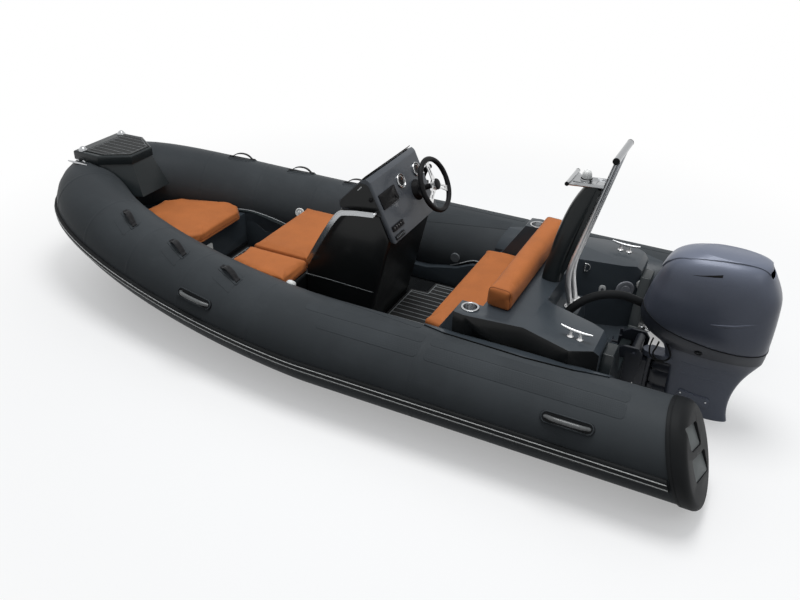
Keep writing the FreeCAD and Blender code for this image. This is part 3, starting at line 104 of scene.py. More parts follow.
# %% [markdown]
# ## A small language for materials
# A material is a tree of nodes. It could be drawn by hand in the Shader Editor, but then
# the file couldn't rebuild it, and a list of links is hard to read. Here a socket is
# wrapped in a class that knows + - and *, so a pattern is written as a formula.

# %% Shader formulas
class Wire:
    """A shader socket that can be used in a formula."""

    def __init__(self, tree, socket):
        self.tree, self.socket = tree, socket

    def math(self, operation, *others, clamp=False):
        node = self.tree.nodes.new("ShaderNodeMath")
        node.operation, node.use_clamp = operation, clamp
        for place, value in zip(node.inputs, (self, *others)):
            plug(self.tree, place, value)
        return Wire(self.tree, node.outputs[0])

    def __add__(self, other):
        return self.math("ADD", other)

    def __mul__(self, other):
        return self.math("MULTIPLY", other)

    def __sub__(self, other):
        return self.math("SUBTRACT", other)

    def __rsub__(self, other):
        return (self * -1.0) + other

    __radd__, __rmul__ = __add__, __mul__

    def between(self, low, high):
        """0 below low, 1 above high, and smooth between them."""
        node = self.tree.nodes.new("ShaderNodeMapRange")
        node.interpolation_type = "SMOOTHSTEP"
        plug(self.tree, node.inputs["Value"], self)
        node.inputs["From Min"].default_value, node.inputs["From Max"].default_value = low, high
        return Wire(self.tree, node.outputs["Result"])

    def wave(self, pitch):
        """A ripple from 0 to 1 that repeats at the pitch."""
        return (self * (2 * math.pi / pitch)).math("SINE") * 0.5 + 0.5


def plug(tree, place, value):
    """Link a wire to a socket, or set a plain value on it."""
    if isinstance(value, Wire):
        tree.links.new(value.socket, place)
    else:
        place.default_value = value


def two_colours(tree, factor, first, second):
    """A colour that goes from the first to the second as the factor goes from 0 to 1."""
    made = tree.nodes.new("ShaderNodeMix")
    made.data_type = "RGBA"
    plug(tree, made.inputs["Factor"], factor)
    for place, value in ((made.inputs[6], first), (made.inputs[7], second)):
        plug(tree, place, value if isinstance(value, Wire) else (*value, 1.0))
    return Wire(tree, made.outputs[2])


print("a formula of wires makes math nodes")

# %% A finish
FINISHES = {}


class Finish:
    """A procedural material. Fixed numbers go on the shader's own sockets."""

    def __init__(self, name, fixed=None):
        self.material = bpy.data.materials.new(name)
        self.material.use_nodes = True
        self.tree = self.material.node_tree
        self.shader = self.tree.nodes["Principled BSDF"]
        for socket, value in (fixed or {}).items():
            self.shader.inputs[socket].default_value = value
        self.place = self.node("ShaderNodeTexCoord", output="Object")
        FINISHES[name] = self.material

    def node(self, kind, settings=None, inputs=None, output=0):
        """Any node, from its type, its settings and what goes into its sockets."""
        made = self.tree.nodes.new(kind)
        for name, value in (settings or {}).items():
            setattr(made, name, value)
        for name, value in (inputs or {}).items():
            plug(self.tree, made.inputs[name], value)
        return Wire(self.tree, made.outputs[output])

    def stretched(self, scale):
        return self.node("ShaderNodeMapping", None, {"Vector": self.place, "Scale": scale})

    def noise(self, scale, detail=3.0, rough=0.5, place=None):
        return self.node("ShaderNodeTexNoise", None, {
            "Vector": place or self.place, "Scale": scale, "Detail": detail, "Roughness": rough}, "Fac")

    def cells(self, scale, output="Distance"):
        return self.node("ShaderNodeTexVoronoi", None, {"Vector": self.place, "Scale": scale}, output)

    def axis(self, name, place=None):
        return self.node("ShaderNodeSeparateXYZ", None, {"Vector": place or self.place}, name)

    def mixed(self, factor, first, second):
        return two_colours(self.tree, factor, first, second)

    def feed(self, socket, value):
        plug(self.tree, self.shader.inputs[socket], value)

    def bump(self, height, distance):
        """Relief of the surface, its distance in metres."""
        self.feed("Normal", self.node("ShaderNodeBump", None, {"Height": height, "Distance": distance,
                                                               "Strength": 1.0}, "Normal"))


def shade(colour, share):
    """The colour, lighter or darker by a share."""
    return tuple(min(1.0, v * share) for v in colour)


print("a finish is a Principled shader fed by formulas")

# %% [markdown]
# ## Moulded and painted finishes
# Most surfaces of a boat come out of a mould or are painted: one colour that drifts a
# little, with a fine grain, duller where hands and water have been. A photographed
# texture needs an unwrapped mesh and blurs close up. Noise on Object coordinates doesn't,
# so one function makes all of these.

# %% Moulded and painted finishes
def moulded(name, colour, rough, grain, depth, drift=0.12, fixed=None):
    """A coloured surface with a grain of a scale per metre and a depth in metres."""
    finish = Finish(name, fixed)
    cloud = finish.noise(5.0, 4.0, 0.6)
    fine = finish.noise(grain, 2.0, 0.6)
    tone = cloud.between(0.3, 0.7)
    finish.feed("Base Color", finish.mixed(tone, shade(colour, 1 - drift), shade(colour, 1 + drift)))
    finish.feed("Roughness", tone * 0.08 + fine * 0.06 + (rough - 0.07))
    finish.bump(fine, depth)


GELCOAT = {"Coat Weight": 0.15, "Coat Roughness": 0.15, "Specular IOR Level": 0.2}
CASTING = {"Metallic": 0.2, "Coat Weight": 0.15, "Coat Roughness": 0.2, "Specular IOR Level": 0.25}
SOFT = {"Specular IOR Level": 0.1}
moulded("deck_gelcoat", (0.038, 0.047, 0.056), 0.36, 900, 0.00004, 0.06, GELCOAT)
moulded("pod_gelcoat", (0.062, 0.07, 0.082), 0.36, 900, 0.00004, 0.06, GELCOAT)
moulded("console_gelcoat", (0.0095, 0.0105, 0.011), 0.34, 900, 0.00004, 0.1, GELCOAT)
moulded("hull_gelcoat", (0.012, 0.013, 0.014), 0.26, 900, 0.00003, 0.1, GELCOAT)
moulded("slate_gelcoat", (0.017, 0.022, 0.024), 0.34, 900, 0.00004, 0.08, GELCOAT)
moulded("black_rubber", (0.011, 0.012, 0.013), 0.55, 700, 0.00012, 0.18, SOFT)
moulded("black_plastic", (0.007, 0.007, 0.008), 0.46, 1500, 0.00008, 0.12, SOFT)
moulded("grey_plastic", (0.125, 0.135, 0.145), 0.45, 1200, 0.00006, 0.08, SOFT)
moulded("white_plastic", (0.74, 0.75, 0.74), 0.35, 1200, 0.00004, 0.03)
moulded("white_line", (0.66, 0.67, 0.66), 0.45, 800, 0.00006, 0.05)
moulded("caulk", (0.34, 0.36, 0.37), 0.6, 700, 0.00008, 0.08)
moulded("engine_casting", (0.022, 0.025, 0.033), 0.38, 500, 0.0001, 0.12, CASTING)
moulded("prop_steel", (0.028, 0.028, 0.032), 0.3, 500, 0.00005, 0.2, {"Metallic": 0.6, "Coat Weight": 0.4})
moulded("engine_iron", (0.05, 0.05, 0.05), 0.6, 300, 0.0003, 0.2, {"Metallic": 0.5})
moulded("black_glass", (0.003, 0.003, 0.0035), 0.3, 60, 0.000004, 0.1, {"Specular IOR Level": 0.08})
moulded("wheel_grip", (0.01, 0.01, 0.011), 0.5, 1000, 0.00015, 0.15, SOFT)
moulded("gauge", (0.012, 0.012, 0.014), 0.4, 1200, 0.00002, 0.1, SOFT)
moulded("gauge_mark", (0.7, 0.7, 0.68), 0.5, 1200, 0.00002, 0.03)
print("moulded finishes:", len(FINISHES))

# %% [markdown]
# ## Tube cloth
# The tubes are cloth coated with rubber: the weave only just shows, and the rubber goes
# dull where it is handled. The stepping panels have small raised lozenges. An image of a
# weave could be tiled, but two crossed ripples give the same relief with no seam.

# %% Coated tube fabric
def tube_fabric(name, colour, rough, weave_depth):
    """Rubber-coated cloth: the weave shows faintly through, with dull handled areas."""
    finish = Finish(name, {"Specular IOR Level": 0.04})
    cloud = finish.noise(1.7, 5.0, 0.62)
    scuff = finish.noise(9.0, 6.0, 0.7, finish.stretched((0.35, 1.0, 1.0)))
    grain = finish.noise(1100, 2.0, 0.6)
    warp = finish.axis("X").wave(0.0022)
    weft = finish.axis("Z").wave(0.0022)
    worn = scuff.between(0.52, 0.78)
    tone = cloud.between(0.35, 0.68)
    base = finish.mixed(tone, shade(colour, 0.88), shade(colour, 1.08))
    finish.feed("Base Color", finish.mixed(worn * 0.35, base, shade(colour, 1.3)))
    finish.feed("Roughness", tone * 0.05 + worn * 0.1 + grain * 0.05 + (rough - 0.06))
    finish.bump(warp * weft * 0.7 + grain * 0.5, weave_depth)


def tread(name, colour):
    """The stepping panels on the tubes: the same cloth with small raised lozenges."""
    finish = Finish(name, {"Specular IOR Level": 0.05})
    along, up = finish.axis("X"), finish.axis("Z") + finish.axis("Y")
    lozenge = (along + up).wave(0.009) * (along - up).wave(0.009)
    grain = finish.noise(900, 2.0)
    cloud = finish.noise(3.0, 4.0)
    finish.feed("Base Color", finish.mixed(cloud.between(0.3, 0.7), shade(colour, 0.9), shade(colour, 1.06)))
    finish.feed("Roughness", grain * 0.08 + cloud * 0.05 + 0.5)
    finish.bump(lozenge.between(0.25, 0.8) + grain * 0.2, 0.00035)


tube_fabric("tube_fabric", (0.052, 0.058, 0.063), 0.46, 0.00006)
tube_fabric("tube_tape", (0.051, 0.057, 0.062), 0.47, 0.00008)
tread("tube_patch", (0.048, 0.054, 0.059))
print("tube cloth finishes: 3")

# %% [markdown]
# ## Seat cloth, webbing and floor foam
# Seat cloth has a nap that catches light on its crowns, webbing has a slanting rib, and
# floor foam is brushed along its planks. Hair would give a true nap at a great cost in
# time, so the nap is noise in the bump and the colour, with a little sheen.

# %% Upholstery, webbing and floor foam
def upholstery(name, colour):
    """Coated seat cloth with a soft nap, a woven grain and paler worn crowns."""
    finish = Finish(name, {"Specular IOR Level": 0.15, "Sheen Weight": 0.08, "Sheen Roughness": 0.4})
    cloud = finish.noise(4.0, 5.0, 0.6)
    nap = finish.noise(420, 3.0, 0.65)
    fibres = finish.noise(160, 2.0, 0.6, finish.stretched((1.0, 2.6, 1.0)))
    thread = finish.axis("X").wave(0.0031) * finish.axis("Y").wave(0.0031)
    tone = cloud.between(0.32, 0.68)
    base = finish.mixed(tone, shade(colour, 0.9), shade(colour, 1.08))
    finish.feed("Base Color", finish.mixed(nap.between(0.35, 0.75) * 0.35, base, shade(colour, 0.72)))
    finish.feed("Roughness", nap * 0.1 + tone * 0.06 + 0.58)
    finish.bump(nap * 0.6 + thread * 0.25 + fibres * 0.3, 0.00045)


def webbing(name, colour):
    """Woven strap: a slanting twill over a finer rib, with a little dust."""
    finish = Finish(name, {"Specular IOR Level": 0.15, "Sheen Weight": 0.1})
    twill = (finish.axis("X") + finish.axis("Y") + finish.axis("Z")).wave(0.0034)
    rib = (finish.axis("X") - finish.axis("Z")).wave(0.0021)
    dust = finish.noise(40, 4.0)
    finish.feed("Base Color", finish.mixed(dust.between(0.4, 0.75), colour, shade(colour, 1.7)))
    finish.feed("Roughness", twill * 0.1 + 0.7)
    finish.bump(twill * 0.7 + rib * 0.4, 0.0004)


def deck_foam(name, colour):
    """Brushed foam planks: a fine lengthwise grain and a mottled tone."""
    finish = Finish(name, {"Specular IOR Level": 0.2, "Sheen Weight": 0.15})
    brushed = finish.noise(60, 3.0, 0.6, finish.stretched((0.25, 6.0, 6.0)))
    pores = finish.noise(900, 2.0)
    mottle = finish.noise(7.0, 4.0, 0.6)
    tone = (mottle * 0.4 + brushed * 0.6).between(0.35, 0.65)
    finish.feed("Base Color", finish.mixed(tone, shade(colour, 0.78), shade(colour, 1.2)))
    finish.feed("Roughness", pores * 0.1 + 0.78)
    finish.bump(brushed * 0.6 + pores * 0.5, 0.00035)


upholstery("orange_vinyl", (0.46, 0.15, 0.045))
upholstery("orange_seam", (0.23, 0.072, 0.024))
webbing("black_webbing", (0.012, 0.012, 0.013))
deck_foam("deck_foam", (0.02, 0.021, 0.021))
print("cloth and foam finishes: 4")

# %% [markdown]
# ## Metals and engine paint
# Polished steel shows mostly what is round it, so its own pattern is only wipe marks and
# dried water. A ramp on height makes the mast duller low down, and paints it paler there as
# a painted reflection. The engine's paint has flakes under a clear coat, and faces that look
# up are painted paler, as painted light from above. An image of flakes would repeat, so each
# Voronoi cell is one.

# %% Metals and engine paint
def polished(name, colour, rough, satin=None):
    """Polished tube: fine wipe marks along it and faint water spots. Where a low colour is given,
    it is rougher low down and painted that paler colour there, a painted reflection."""
    finish = Finish(name, {"Metallic": 1.0})
    wipe = finish.noise(220, 3.0, 0.6, finish.stretched((0.12, 1.0, 1.0)))
    spots = finish.cells(75.0).between(0.05, 0.28)
    mark = finish.noise(14.0, 5.0, 0.7).between(0.5, 0.8)
    base = finish.mixed(mark * 0.3, colour, shade(colour, 0.8))
    gloss = wipe * 0.06 + mark * 0.1 + (1 - spots) * 0.03 + (rough - 0.03)
    if satin:
        # Painted reflection: below the ramp the colour turns paler. The added roughness there is the duller
        # finish.
        height = finish.axis("Z").between(0.8, 1.28)
        base = finish.mixed(height, satin, base)
        gloss = gloss + (1 - height) * 0.22
    finish.feed("Base Color", base)
    finish.feed("Roughness", gloss)
    finish.bump(wipe, 0.00001)


def engine_paint(name, colour, rough, painted_top_light=1.75):
    """Metallic paint under a clear coat: tiny flakes, a little orange peel, and painted light: faces that
    look up are painted paler.
    """
    finish = Finish(name, {"Coat Weight": 0.12, "Coat Roughness": 0.22, "Specular IOR Level": 0.2})
    sparkle = finish.axis("X", finish.cells(1600.0, "Color"))
    peel = finish.noise(160, 2.0, 0.5)
    cloud = finish.noise(2.4, 4.0, 0.6).between(0.3, 0.7)
    base = finish.mixed(cloud, shade(colour, 0.92), shade(colour, 1.08))
    # Painted light: the paint is made paler where the surface faces up, as if lit from above.
    painted_light_facing_up = finish.axis("Z", finish.node("ShaderNodeTexCoord", output="Normal"))
    base = finish.mixed(painted_light_facing_up.between(0.25, 0.95), base, shade(colour, painted_top_light))
    finish.feed("Base Color", finish.mixed(sparkle.between(0.55, 1.0) * 0.5, base, shade(colour, 1.7)))
    finish.feed("Metallic", sparkle * 0.15 + 0.08)
    finish.feed("Roughness", sparkle * 0.1 + (rough - 0.05))
    finish.bump(peel, 0.00004)


polished("chrome", (0.46, 0.47, 0.48), 0.17)
polished("mast_steel", (0.34, 0.35, 0.36), 0.18, satin=(0.92, 0.92, 0.92))
polished("wheel_metal", (0.74, 0.74, 0.74), 0.32)
polished("stainless", (0.44, 0.45, 0.46), 0.26)
polished("cup_well", (0.16, 0.165, 0.17), 0.38)
engine_paint("engine_paint", (0.086, 0.097, 0.128), 0.36)
engine_paint("pan_paint", (0.04, 0.045, 0.058), 0.42, 1.3)
# Painted light: the leg's paint is a lighter copy of the engine's, to lift the shade the leg stands in.
engine_paint("leg_paint", (0.105, 0.118, 0.152), 0.36, 1.2)
print("finishes in all:", len(FINISHES))

# %% [markdown]
# ## Dress the solids
# Every solid could be rebuilt here, but one whose shape is right needs only a finish. So
# all of them take the finish of their slot, and later steps put a finer skin over the
# soft and the rounded ones.

# %% Give each solid its finish
LIKE_CONSOLE = ("cockpit_liner", "front_seat_base", "bow_locker")
for node_name, solid in NODES.items():
    finish = FINISHES["console_gelcoat" if node_name in LIKE_CONSOLE else SLOT_OF[node_name]]
    if not solid.data.materials:
        solid.data.materials.append(finish)
    for index in range(len(solid.data.materials)):
        solid.data.materials[index] = finish
print("solids dressed:", len(NODES))

# %% [markdown]
# ## Pieces and skins
# Primitives would do for boxes, but most of a boat is curved. So a piece comes from a
# skin over a row of rings, as a builder planks over frames. Each piece names the body
# that it moves with and the solid that it stands for.

# %% Piece and skin
def mesh_of(name, points, faces):
    """A mesh from a list of points and a list of faces."""
    mesh = bpy.data.meshes.new(name)
    mesh.from_pydata([tuple(p) for p in points], [], faces)
    return mesh


def reshaped(mesh, *changes):
    """Run changes on a mesh, which bmesh holds while it works."""
    work = bmesh.new()
    work.from_mesh(mesh)
    for change in changes:
        change(work)
    work.to_mesh(mesh)
    work.free()
    return mesh


def merged(reach):
    """A change that joins points that are nearer than the reach."""
    return lambda work: bmesh.ops.remove_doubles(work, verts=work.verts, dist=reach)


def faced_out(work):
    bmesh.ops.recalc_face_normals(work, faces=work.faces)


def dress(name, mesh, finish, body="hull", slot=None, smooth=True, sharp=50, replaced=()):
    """Finish a mesh: outward faces, smooth shading, material, and the body it rides on."""
    reshaped(mesh, merged(1e-6), faced_out)
    mesh.polygons.foreach_set("use_smooth", [smooth] * len(mesh.polygons))
    if smooth:
        mesh.set_sharp_from_angle(angle=math.radians(sharp))
    mesh.materials.clear()
    mesh.materials.append(FINISHES[finish])
    made = linked(name, mesh)
    if (slot or finish) in SLOTS:
        slot or finish
    if replaced:
        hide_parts(*replaced)
    if body:
        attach(made, body)
    return made


def piece(name, points, faces, finish, *args, **kwargs):
    """A dressed object from points and faces."""
    return dress(name, mesh_of(name, points, faces), finish, *args, **kwargs)


def skin(rings, closed=True, capped=True, looped=False):
    """Points and faces over rings of equal length."""
    count = len(rings[0])
    points = [point for ring in rings for point in ring]
    faces = []
    for row in range(len(rings) if looped else len(rings) - 1):
        this, following = row * count, ((row + 1) % len(rings)) * count
        for step in range(count if closed else count - 1):
            after = (step + 1) % count
            faces.append((this + step, this + after, following + after, following + step))
    if capped and not looped:
        for base in (0, (len(rings) - 1) * count):
            points.append(sum((Vector(p) for p in points[base:base + count]), Vector()) / count)
            centre = len(points) - 1
            faces += [(base + step, base + (step + 1) % count, centre) for step in range(count)]
    return points, faces


def joined(parts):
    """Several (points, faces) pairs as one."""
    points, faces = [], []
    for more_points, more_faces in parts:
        base = len(points)
        points += more_points
        faces += [tuple(base + index for index in face) for face in more_faces]
    return points, faces


print("a skin has a face between each two points and the next two")

# %% [markdown]
# ## Rounded copies
# What comes out of a mould or a foundry has no sharp edge, and a rounded edge catches the
# light. Each could be filleted by hand. A Bevel modifier with an angle limit finds them
# all, once flat facets are merged so that only real edges are left.

# %% Apply modifiers, round a solid
MERGE_REACH = 2e-5


def applied(made):
    """Apply an object's modifiers to its mesh."""
    bpy.context.view_layer.update()
    graph = bpy.context.evaluated_depsgraph_get()
    mesh = bpy.data.meshes.new_from_object(made.evaluated_get(graph))
    made.modifiers.clear()
    made.data = mesh


def taken_from(made, *helpers):
    """The mesh of an object with its modifiers applied. The objects go."""
    applied(made)
    mesh = made.data
    for spent in (made, *helpers):
        bpy.data.objects.remove(spent)
    return mesh


def beveled(made, width, segments, angle):
    """A bevel on the edges that are sharper than an angle in degrees."""
    bevel = made.modifiers.new("Edges", "BEVEL")
    bevel.width, bevel.segments = width, segments
    bevel.limit_method, bevel.angle_limit = "ANGLE", math.radians(angle)
    return bevel


def facets_merged(work):
    bmesh.ops.dissolve_limit(work, angle_limit=math.radians(1.0), verts=work.verts, edges=work.edges)


def rounded_copy(node_name, name, width, finish, segments=3, angle=28, body="hull"):
    """A copy of a solid with flat facets merged and its edges rounded."""
    mesh = reshaped(NODES[node_name].data.copy(), merged(MERGE_REACH), facets_merged)
    mesh.name = name
    made = linked(name, mesh)
    beveled(made, width, segments, angle).miter_outer = "MITER_ARC"
    made = dress(name, taken_from(made), finish, body, SLOT_OF[node_name], True, 24, (node_name,))
    print(name, len(made.data.polygons), "faces")

# %% [markdown]
# ## Pipes, turned shapes and plates
# Curve objects and the Screw modifier could make rails, rings and caps, but each would
# have to be converted and placed. Plain functions give the points at once, where the
# piece belongs: a pipe follows a line, a turned shape spins a profile, and a plate is a
# flat sheet with round corners.

# %% Pipes and smooth lines
def circle(sides):
    """Cosine and sine at even steps round a circle."""
    return [(math.cos(2 * math.pi * k / sides), math.sin(2 * math.pi * k / sides)) for k in range(sides)]


def pipe(path, radius, sides=14, looped=False):
    """Points and faces of a tube along a line. The radius may be a function of 0 to 1."""
    path = [Vector(point) for point in path]
    count, rings, normal = len(path), [], None
    for index, point in enumerate(path):
        before = path[index - 1] if index or looped else point
        after = path[(index + 1) % count] if looped or index < count - 1 else point
        way = (after - before).normalized()
        normal = way.orthogonal() if normal is None else normal
        normal = (normal - way * normal.dot(way)).normalized()
        other = way.cross(normal)
        size = radius(index / (count - 1)) if callable(radius) else radius
        rings.append([point + (normal * c + other * s) * size for c, s in circle(sides)])
    return skin(rings, capped=not looped, looped=looped)


def curved(points, steps=8):
    """A smooth line through a few points."""
    points = [Vector(point) for point in points]
    line = []
    for index in range(len(points) - 1):
        a, b = points[max(0, index - 1)], points[index]
        c, d = points[index + 1], points[min(len(points) - 1, index + 2)]
        for step in range(steps):
            t = step / steps
            line.append(0.5 * (2 * b + (c - a) * t + (2 * a - 5 * b + 4 * c - d) * t * t
                               + (3 * b - a - 3 * c + d) * t ** 3))
    return line + [points[-1]]


print("a ring of 12 points begins at", circle(12)[0])

# %% Turned shapes, plates and bars
def turned(profile, centre, axis, sides=48):
    """Spin a profile of (radius, height) about an axis through a centre."""
    axis = Vector(axis).normalized()
    across = axis.orthogonal().normalized()
    other = axis.cross(across)
    return skin([[Vector(centre) + axis * height + (across * c + other * s) * radius
                  for c, s in circle(sides)] for radius, height in profile])


def ring_shape(profile, centre, axis, sides=48):
    """A closed ring: a closed profile of (radius, height) spun about an axis."""
    points, faces = turned(profile, centre, axis, sides)
    last = (len(profile) - 1) * sides
    points = points[:last + sides]
    faces = [face for face in faces if max(face) < last + sides]
    for step in range(sides):
        after = (step + 1) % sides
        faces.append((last + step, last + after, after, step))
    return points, faces


def round_corners(half_width, half_height, corner, steps=6):
    """The outline of a rectangle with round corners."""
    line = []
    for quarter, (sx, sy) in enumerate(((1, 1), (-1, 1), (-1, -1), (1, -1))):
        for step in range(steps + 1):
            angle = math.radians(90 * quarter + 90 * step / steps)
            line.append((sx * (half_width - corner) + corner * math.cos(angle),
                         sy * (half_height - corner) + corner * math.sin(angle)))
    return line


def plate(half_width, half_height, low, high, corner, place, edge=0.0012):
    """A flat sheet with round corners and a bevelled face. place(u, v, w) sets it in the boat."""
    rings = []
    for level, shrink in ((low, 0.0), (high - edge, 0.0), (high - edge * 0.3, edge * 0.3), (high, edge)):
        line = round_corners(half_width - shrink, half_height - shrink, max(corner - shrink, 0.0004))
        rings.append([place(u, v, level) for u, v in line])
    return skin(rings)


def bar_between(a, b, wide, high, up=UP):
    """A straight bar of a rectangular section."""
    a, b = Vector(a), Vector(b)
    way = (b - a).normalized()
    side = way.cross(Vector(up)).normalized()
    top_way = side.cross(way)
    ring = [(-0.5, -0.5), (0.5, -0.5), (0.5, 0.5), (-0.5, 0.5)]
    return skin([[end + side * (wide * u) + top_way * (high * v) for u, v in ring] for end in (a, b)])


print("a ring of 48 sides:", len(turned([(1, 0), (1, 1)], (0, 0, 0), UP)[0]), "points")

# %% [markdown]
# ## What repeats
# Stitches, screws, holes and tick marks are one small shape many times over. A loop could
# copy it, but Geometry Nodes keep the shape apart from the spots. Each spot is a point
# that carries two directions, along and up. Instances are made real at the end, because
# the export drops them.

# %% A group that repeats a shape
def repeat_group():
    """Node group: a cell on every point, turned by the point's own directions."""
    group = bpy.data.node_groups.new("Repeat on spots", "GeometryNodeTree")
    for name, way, kind in (("Geometry", "INPUT", "Geometry"), ("Cell", "INPUT", "Object"),
                            ("Finish", "INPUT", "Material"), ("Geometry", "OUTPUT", "Geometry")):
        group.interface.new_socket(name, in_out=way, socket_type="NodeSocket" + kind)
    nodes, links, turn = group.nodes, group.links, None
    source, result, info, scatter, real, paint = (nodes.new(kind) for kind in (
        "NodeGroupInput", "NodeGroupOutput", "GeometryNodeObjectInfo", "GeometryNodeInstanceOnPoints",
        "GeometryNodeRealizeInstances", "GeometryNodeSetMaterial"))
    for axis, pivot, name in (("X", "AUTO", "along"), ("Z", "X", "up")):
        read = nodes.new("GeometryNodeInputNamedAttribute")
        read.data_type = "FLOAT_VECTOR"
        read.inputs["Name"].default_value = name
        align = nodes.new("FunctionNodeAlignRotationToVector")
        align.axis, align.pivot_axis = axis, pivot
        links.new(read.outputs["Attribute"], align.inputs["Vector"])
        if turn:
            links.new(turn, align.inputs["Rotation"])
        turn = align.outputs["Rotation"]
    links.new(turn, scatter.inputs["Rotation"])
    for start, leaving, end, entering in (
            (source, "Geometry", scatter, "Points"), (source, "Cell", info, "Object"),
            (info, "Geometry", scatter, "Instance"), (scatter, "Instances", real, "Geometry"),
            (real, "Geometry", paint, "Geometry"), (source, "Finish", paint, "Material"),
            (paint, "Geometry", result, "Geometry")):
        links.new(start.outputs[leaving], end.inputs[entering])
    return group


REPEAT = repeat_group()


def repeated(name, cell, spots, finish, body="hull", slot=None, smooth=True):
    """The cell's points and faces on every spot, each spot a place, a way along and a way up."""
    holder = bpy.data.objects.new(name + " cell", mesh_of(name + " cell", *cell))
    spots_mesh = mesh_of(name, [spot[0] for spot in spots], [])
    for index, key in ((1, "along"), (2, "up")):
        made = spots_mesh.attributes.new(key, "FLOAT_VECTOR", "POINT")
        made.data.foreach_set("vector", [v for spot in spots for v in Vector(spot[index]).normalized()])
    cloud = linked(name, spots_mesh)
    modifier = cloud.modifiers.new("Repeat", "NODES")
    modifier.node_group = REPEAT
    values = {"Cell": holder, "Finish": FINISHES[finish]}
    for socket in REPEAT.interface.items_tree:
        if socket.in_out == "INPUT" and socket.name in values:
            modifier[socket.identifier] = values[socket.name]
    dress(name, taken_from(cloud, holder), finish, body, slot, smooth, 40)
    print(name, "on", len(spots), "spots")


def button(radius, height, sides=10):
    """A low round head with a soft edge, standing on Z = 0."""
    rounds = ((1.0, height * 0.5), (0.8, height * 0.9), (0.4, height))
    profile = [(radius, -0.0004)] + [(radius * share, level) for share, level in rounds]
    return turned(profile, (0, 0, 0), UP, sides)


def stitch(length, thick):
    """One stitch along X: a short thread that dips at both ends."""
    heights = ((-0.5, -0.6), (-0.3, 0.2), (0.3, 0.2), (0.5, -0.6))
    return pipe([(length * along, 0, thick * high) for along, high in heights], thick / 2, 5)

# %% [markdown]
# ## The line of the tube
# The tubes run straight along the cockpit, then sweep in and up to meet at the bow. A
# Bezier curve could carry them, but then nothing else would know where the skin is. So
# one function gives the axis, and another turns "so far along, so far round, so far out"
# into a point, for everything that is glued to a tube.

# %% Tube axis and surface
SIDES = (1, -1)
SIDE_NAMES = ("port", "starboard")
RADIUS, HALF_BEAM, AXIS_HEIGHT = 0.25, 0.785, 0.31
BEND_START, BOW_END, BOW_RISE = 1.59, 3.84, 0.223
SWEEP_X, SWEEP_Y = 2 / 1.3, 2 / 2.66
TILT = math.radians(20)
AFT_END, RAKE = -0.42, math.tan(TILT)


def bow_axis(turn):
    """The swept part of the axis, from 0 where it starts to bend to 90 at the bow."""
    c, s = math.cos(math.radians(turn)), math.sin(math.radians(turn))
    x = BEND_START + (BOW_END - BEND_START) * s ** SWEEP_X
    y = HALF_BEAM * max(c, 0.0) ** SWEEP_Y
    share = max(0.0, (x - BEND_START) / (BOW_END - BEND_START))
    return Vector((x, y, AXIS_HEIGHT + BOW_RISE * share ** 2))


def axis_stations():
    """Distance along the axis, its point and its direction, at small steps."""
    rows = [(x, Vector((x, HALF_BEAM, AXIS_HEIGHT)), Vector((1, 0, 0)))
            for x in np.arange(-0.8, BEND_START, 0.03)]
    distance, last = BEND_START, bow_axis(0)
    rows.append((distance, last, Vector((1, 0, 0))))
    for turn in np.arange(1.5, 90.01, 0.75):
        point = bow_axis(turn)
        distance += (point - last).length
        way = (bow_axis(min(90.0, turn + 0.4)) - bow_axis(turn - 0.4)).normalized()
        if turn > 89.9:
            way = Vector((0, -1, 0))
        rows.append((distance, point, way))
        last = point
    return rows


STATIONS = axis_stations()
ALONG = np.array([row[0] for row in STATIONS])
LENGTH = float(ALONG[-1])
print("tube axis, metres:", round(LENGTH - AFT_END, 2))


def tube_point(along, turn, out=0.0, side=1):
    """A point on the tube: metres along, degrees up from outboard, metres off the skin."""
    high = int(np.clip(np.searchsorted(ALONG, along), 1, len(ALONG) - 1))
    low = high - 1
    share = (along - ALONG[low]) / (ALONG[high] - ALONG[low])
    point = STATIONS[low][1].lerp(STATIONS[high][1], share)
    way = STATIONS[low][2].lerp(STATIONS[high][2], share).normalized()
    outward = UP.cross(way).normalized()
    up = way.cross(outward).normalized()
    angle = math.radians(turn)
    point = point + (outward * math.cos(angle) + up * math.sin(angle)) * (RADIUS + out)
    return Vector((point.x, point.y * side, point.z))


def along_at(x):
    """Distance along the tube at a distance forward of the transom."""
    return float(np.interp(x, [row[1].x for row in STATIONS], ALONG))


def rake_start(turn, out=0.0, offset=0.0):
    """How far along the tube its raked aft end is, at an angle round it."""
    return AFT_END + (RADIUS + out) * math.sin(math.radians(turn)) * RAKE + offset

# %% [markdown]
# ## Tubes
# Air makes a tube perfectly round, so a bent cylinder would nearly do. But the cloth is
# cut in panels, and each taped joint holds it in a little. Rings that are skinned one by
# one can be as much smaller there as they should. Both ends are closed, as the real ones
# are.

# %% Tube skins
JOINTS = (0.92, 1.93, 2.47, 2.92, 3.36, 3.78)
DIP_DEPTH, DIP_REACH = 0.0005, 0.035
ROUND = 128


def joint_dip(along):
    """How far the joints pull the skin in, at a distance along the tube."""
    return sum(DIP_DEPTH * math.exp(-((along - joint) / DIP_REACH) ** 2) for joint in JOINTS)


def tube_rings(side):
    """Rings from the raked aft end to the bow, a little closer aft."""
    rings = []
    for share in [*np.arange(0.0, 1.0, 0.012), 1.0]:
        along_of = share ** 0.98
        ring = []
        for step in range(ROUND):
            turn = 360 * step / ROUND
            first = rake_start(turn)
            along = first + (LENGTH - first) * along_of
            ring.append(tube_point(along, turn, -joint_dip(along), side))
        rings.append(ring)
    return rings


for side, name in zip(SIDES, SIDE_NAMES):
    piece(f"air_tube_{name}", *skin(tube_rings(side)), "tube_fabric", sharp=60, replaced=(f"tube_{name}",))
print("tube joints:", len(JOINTS))

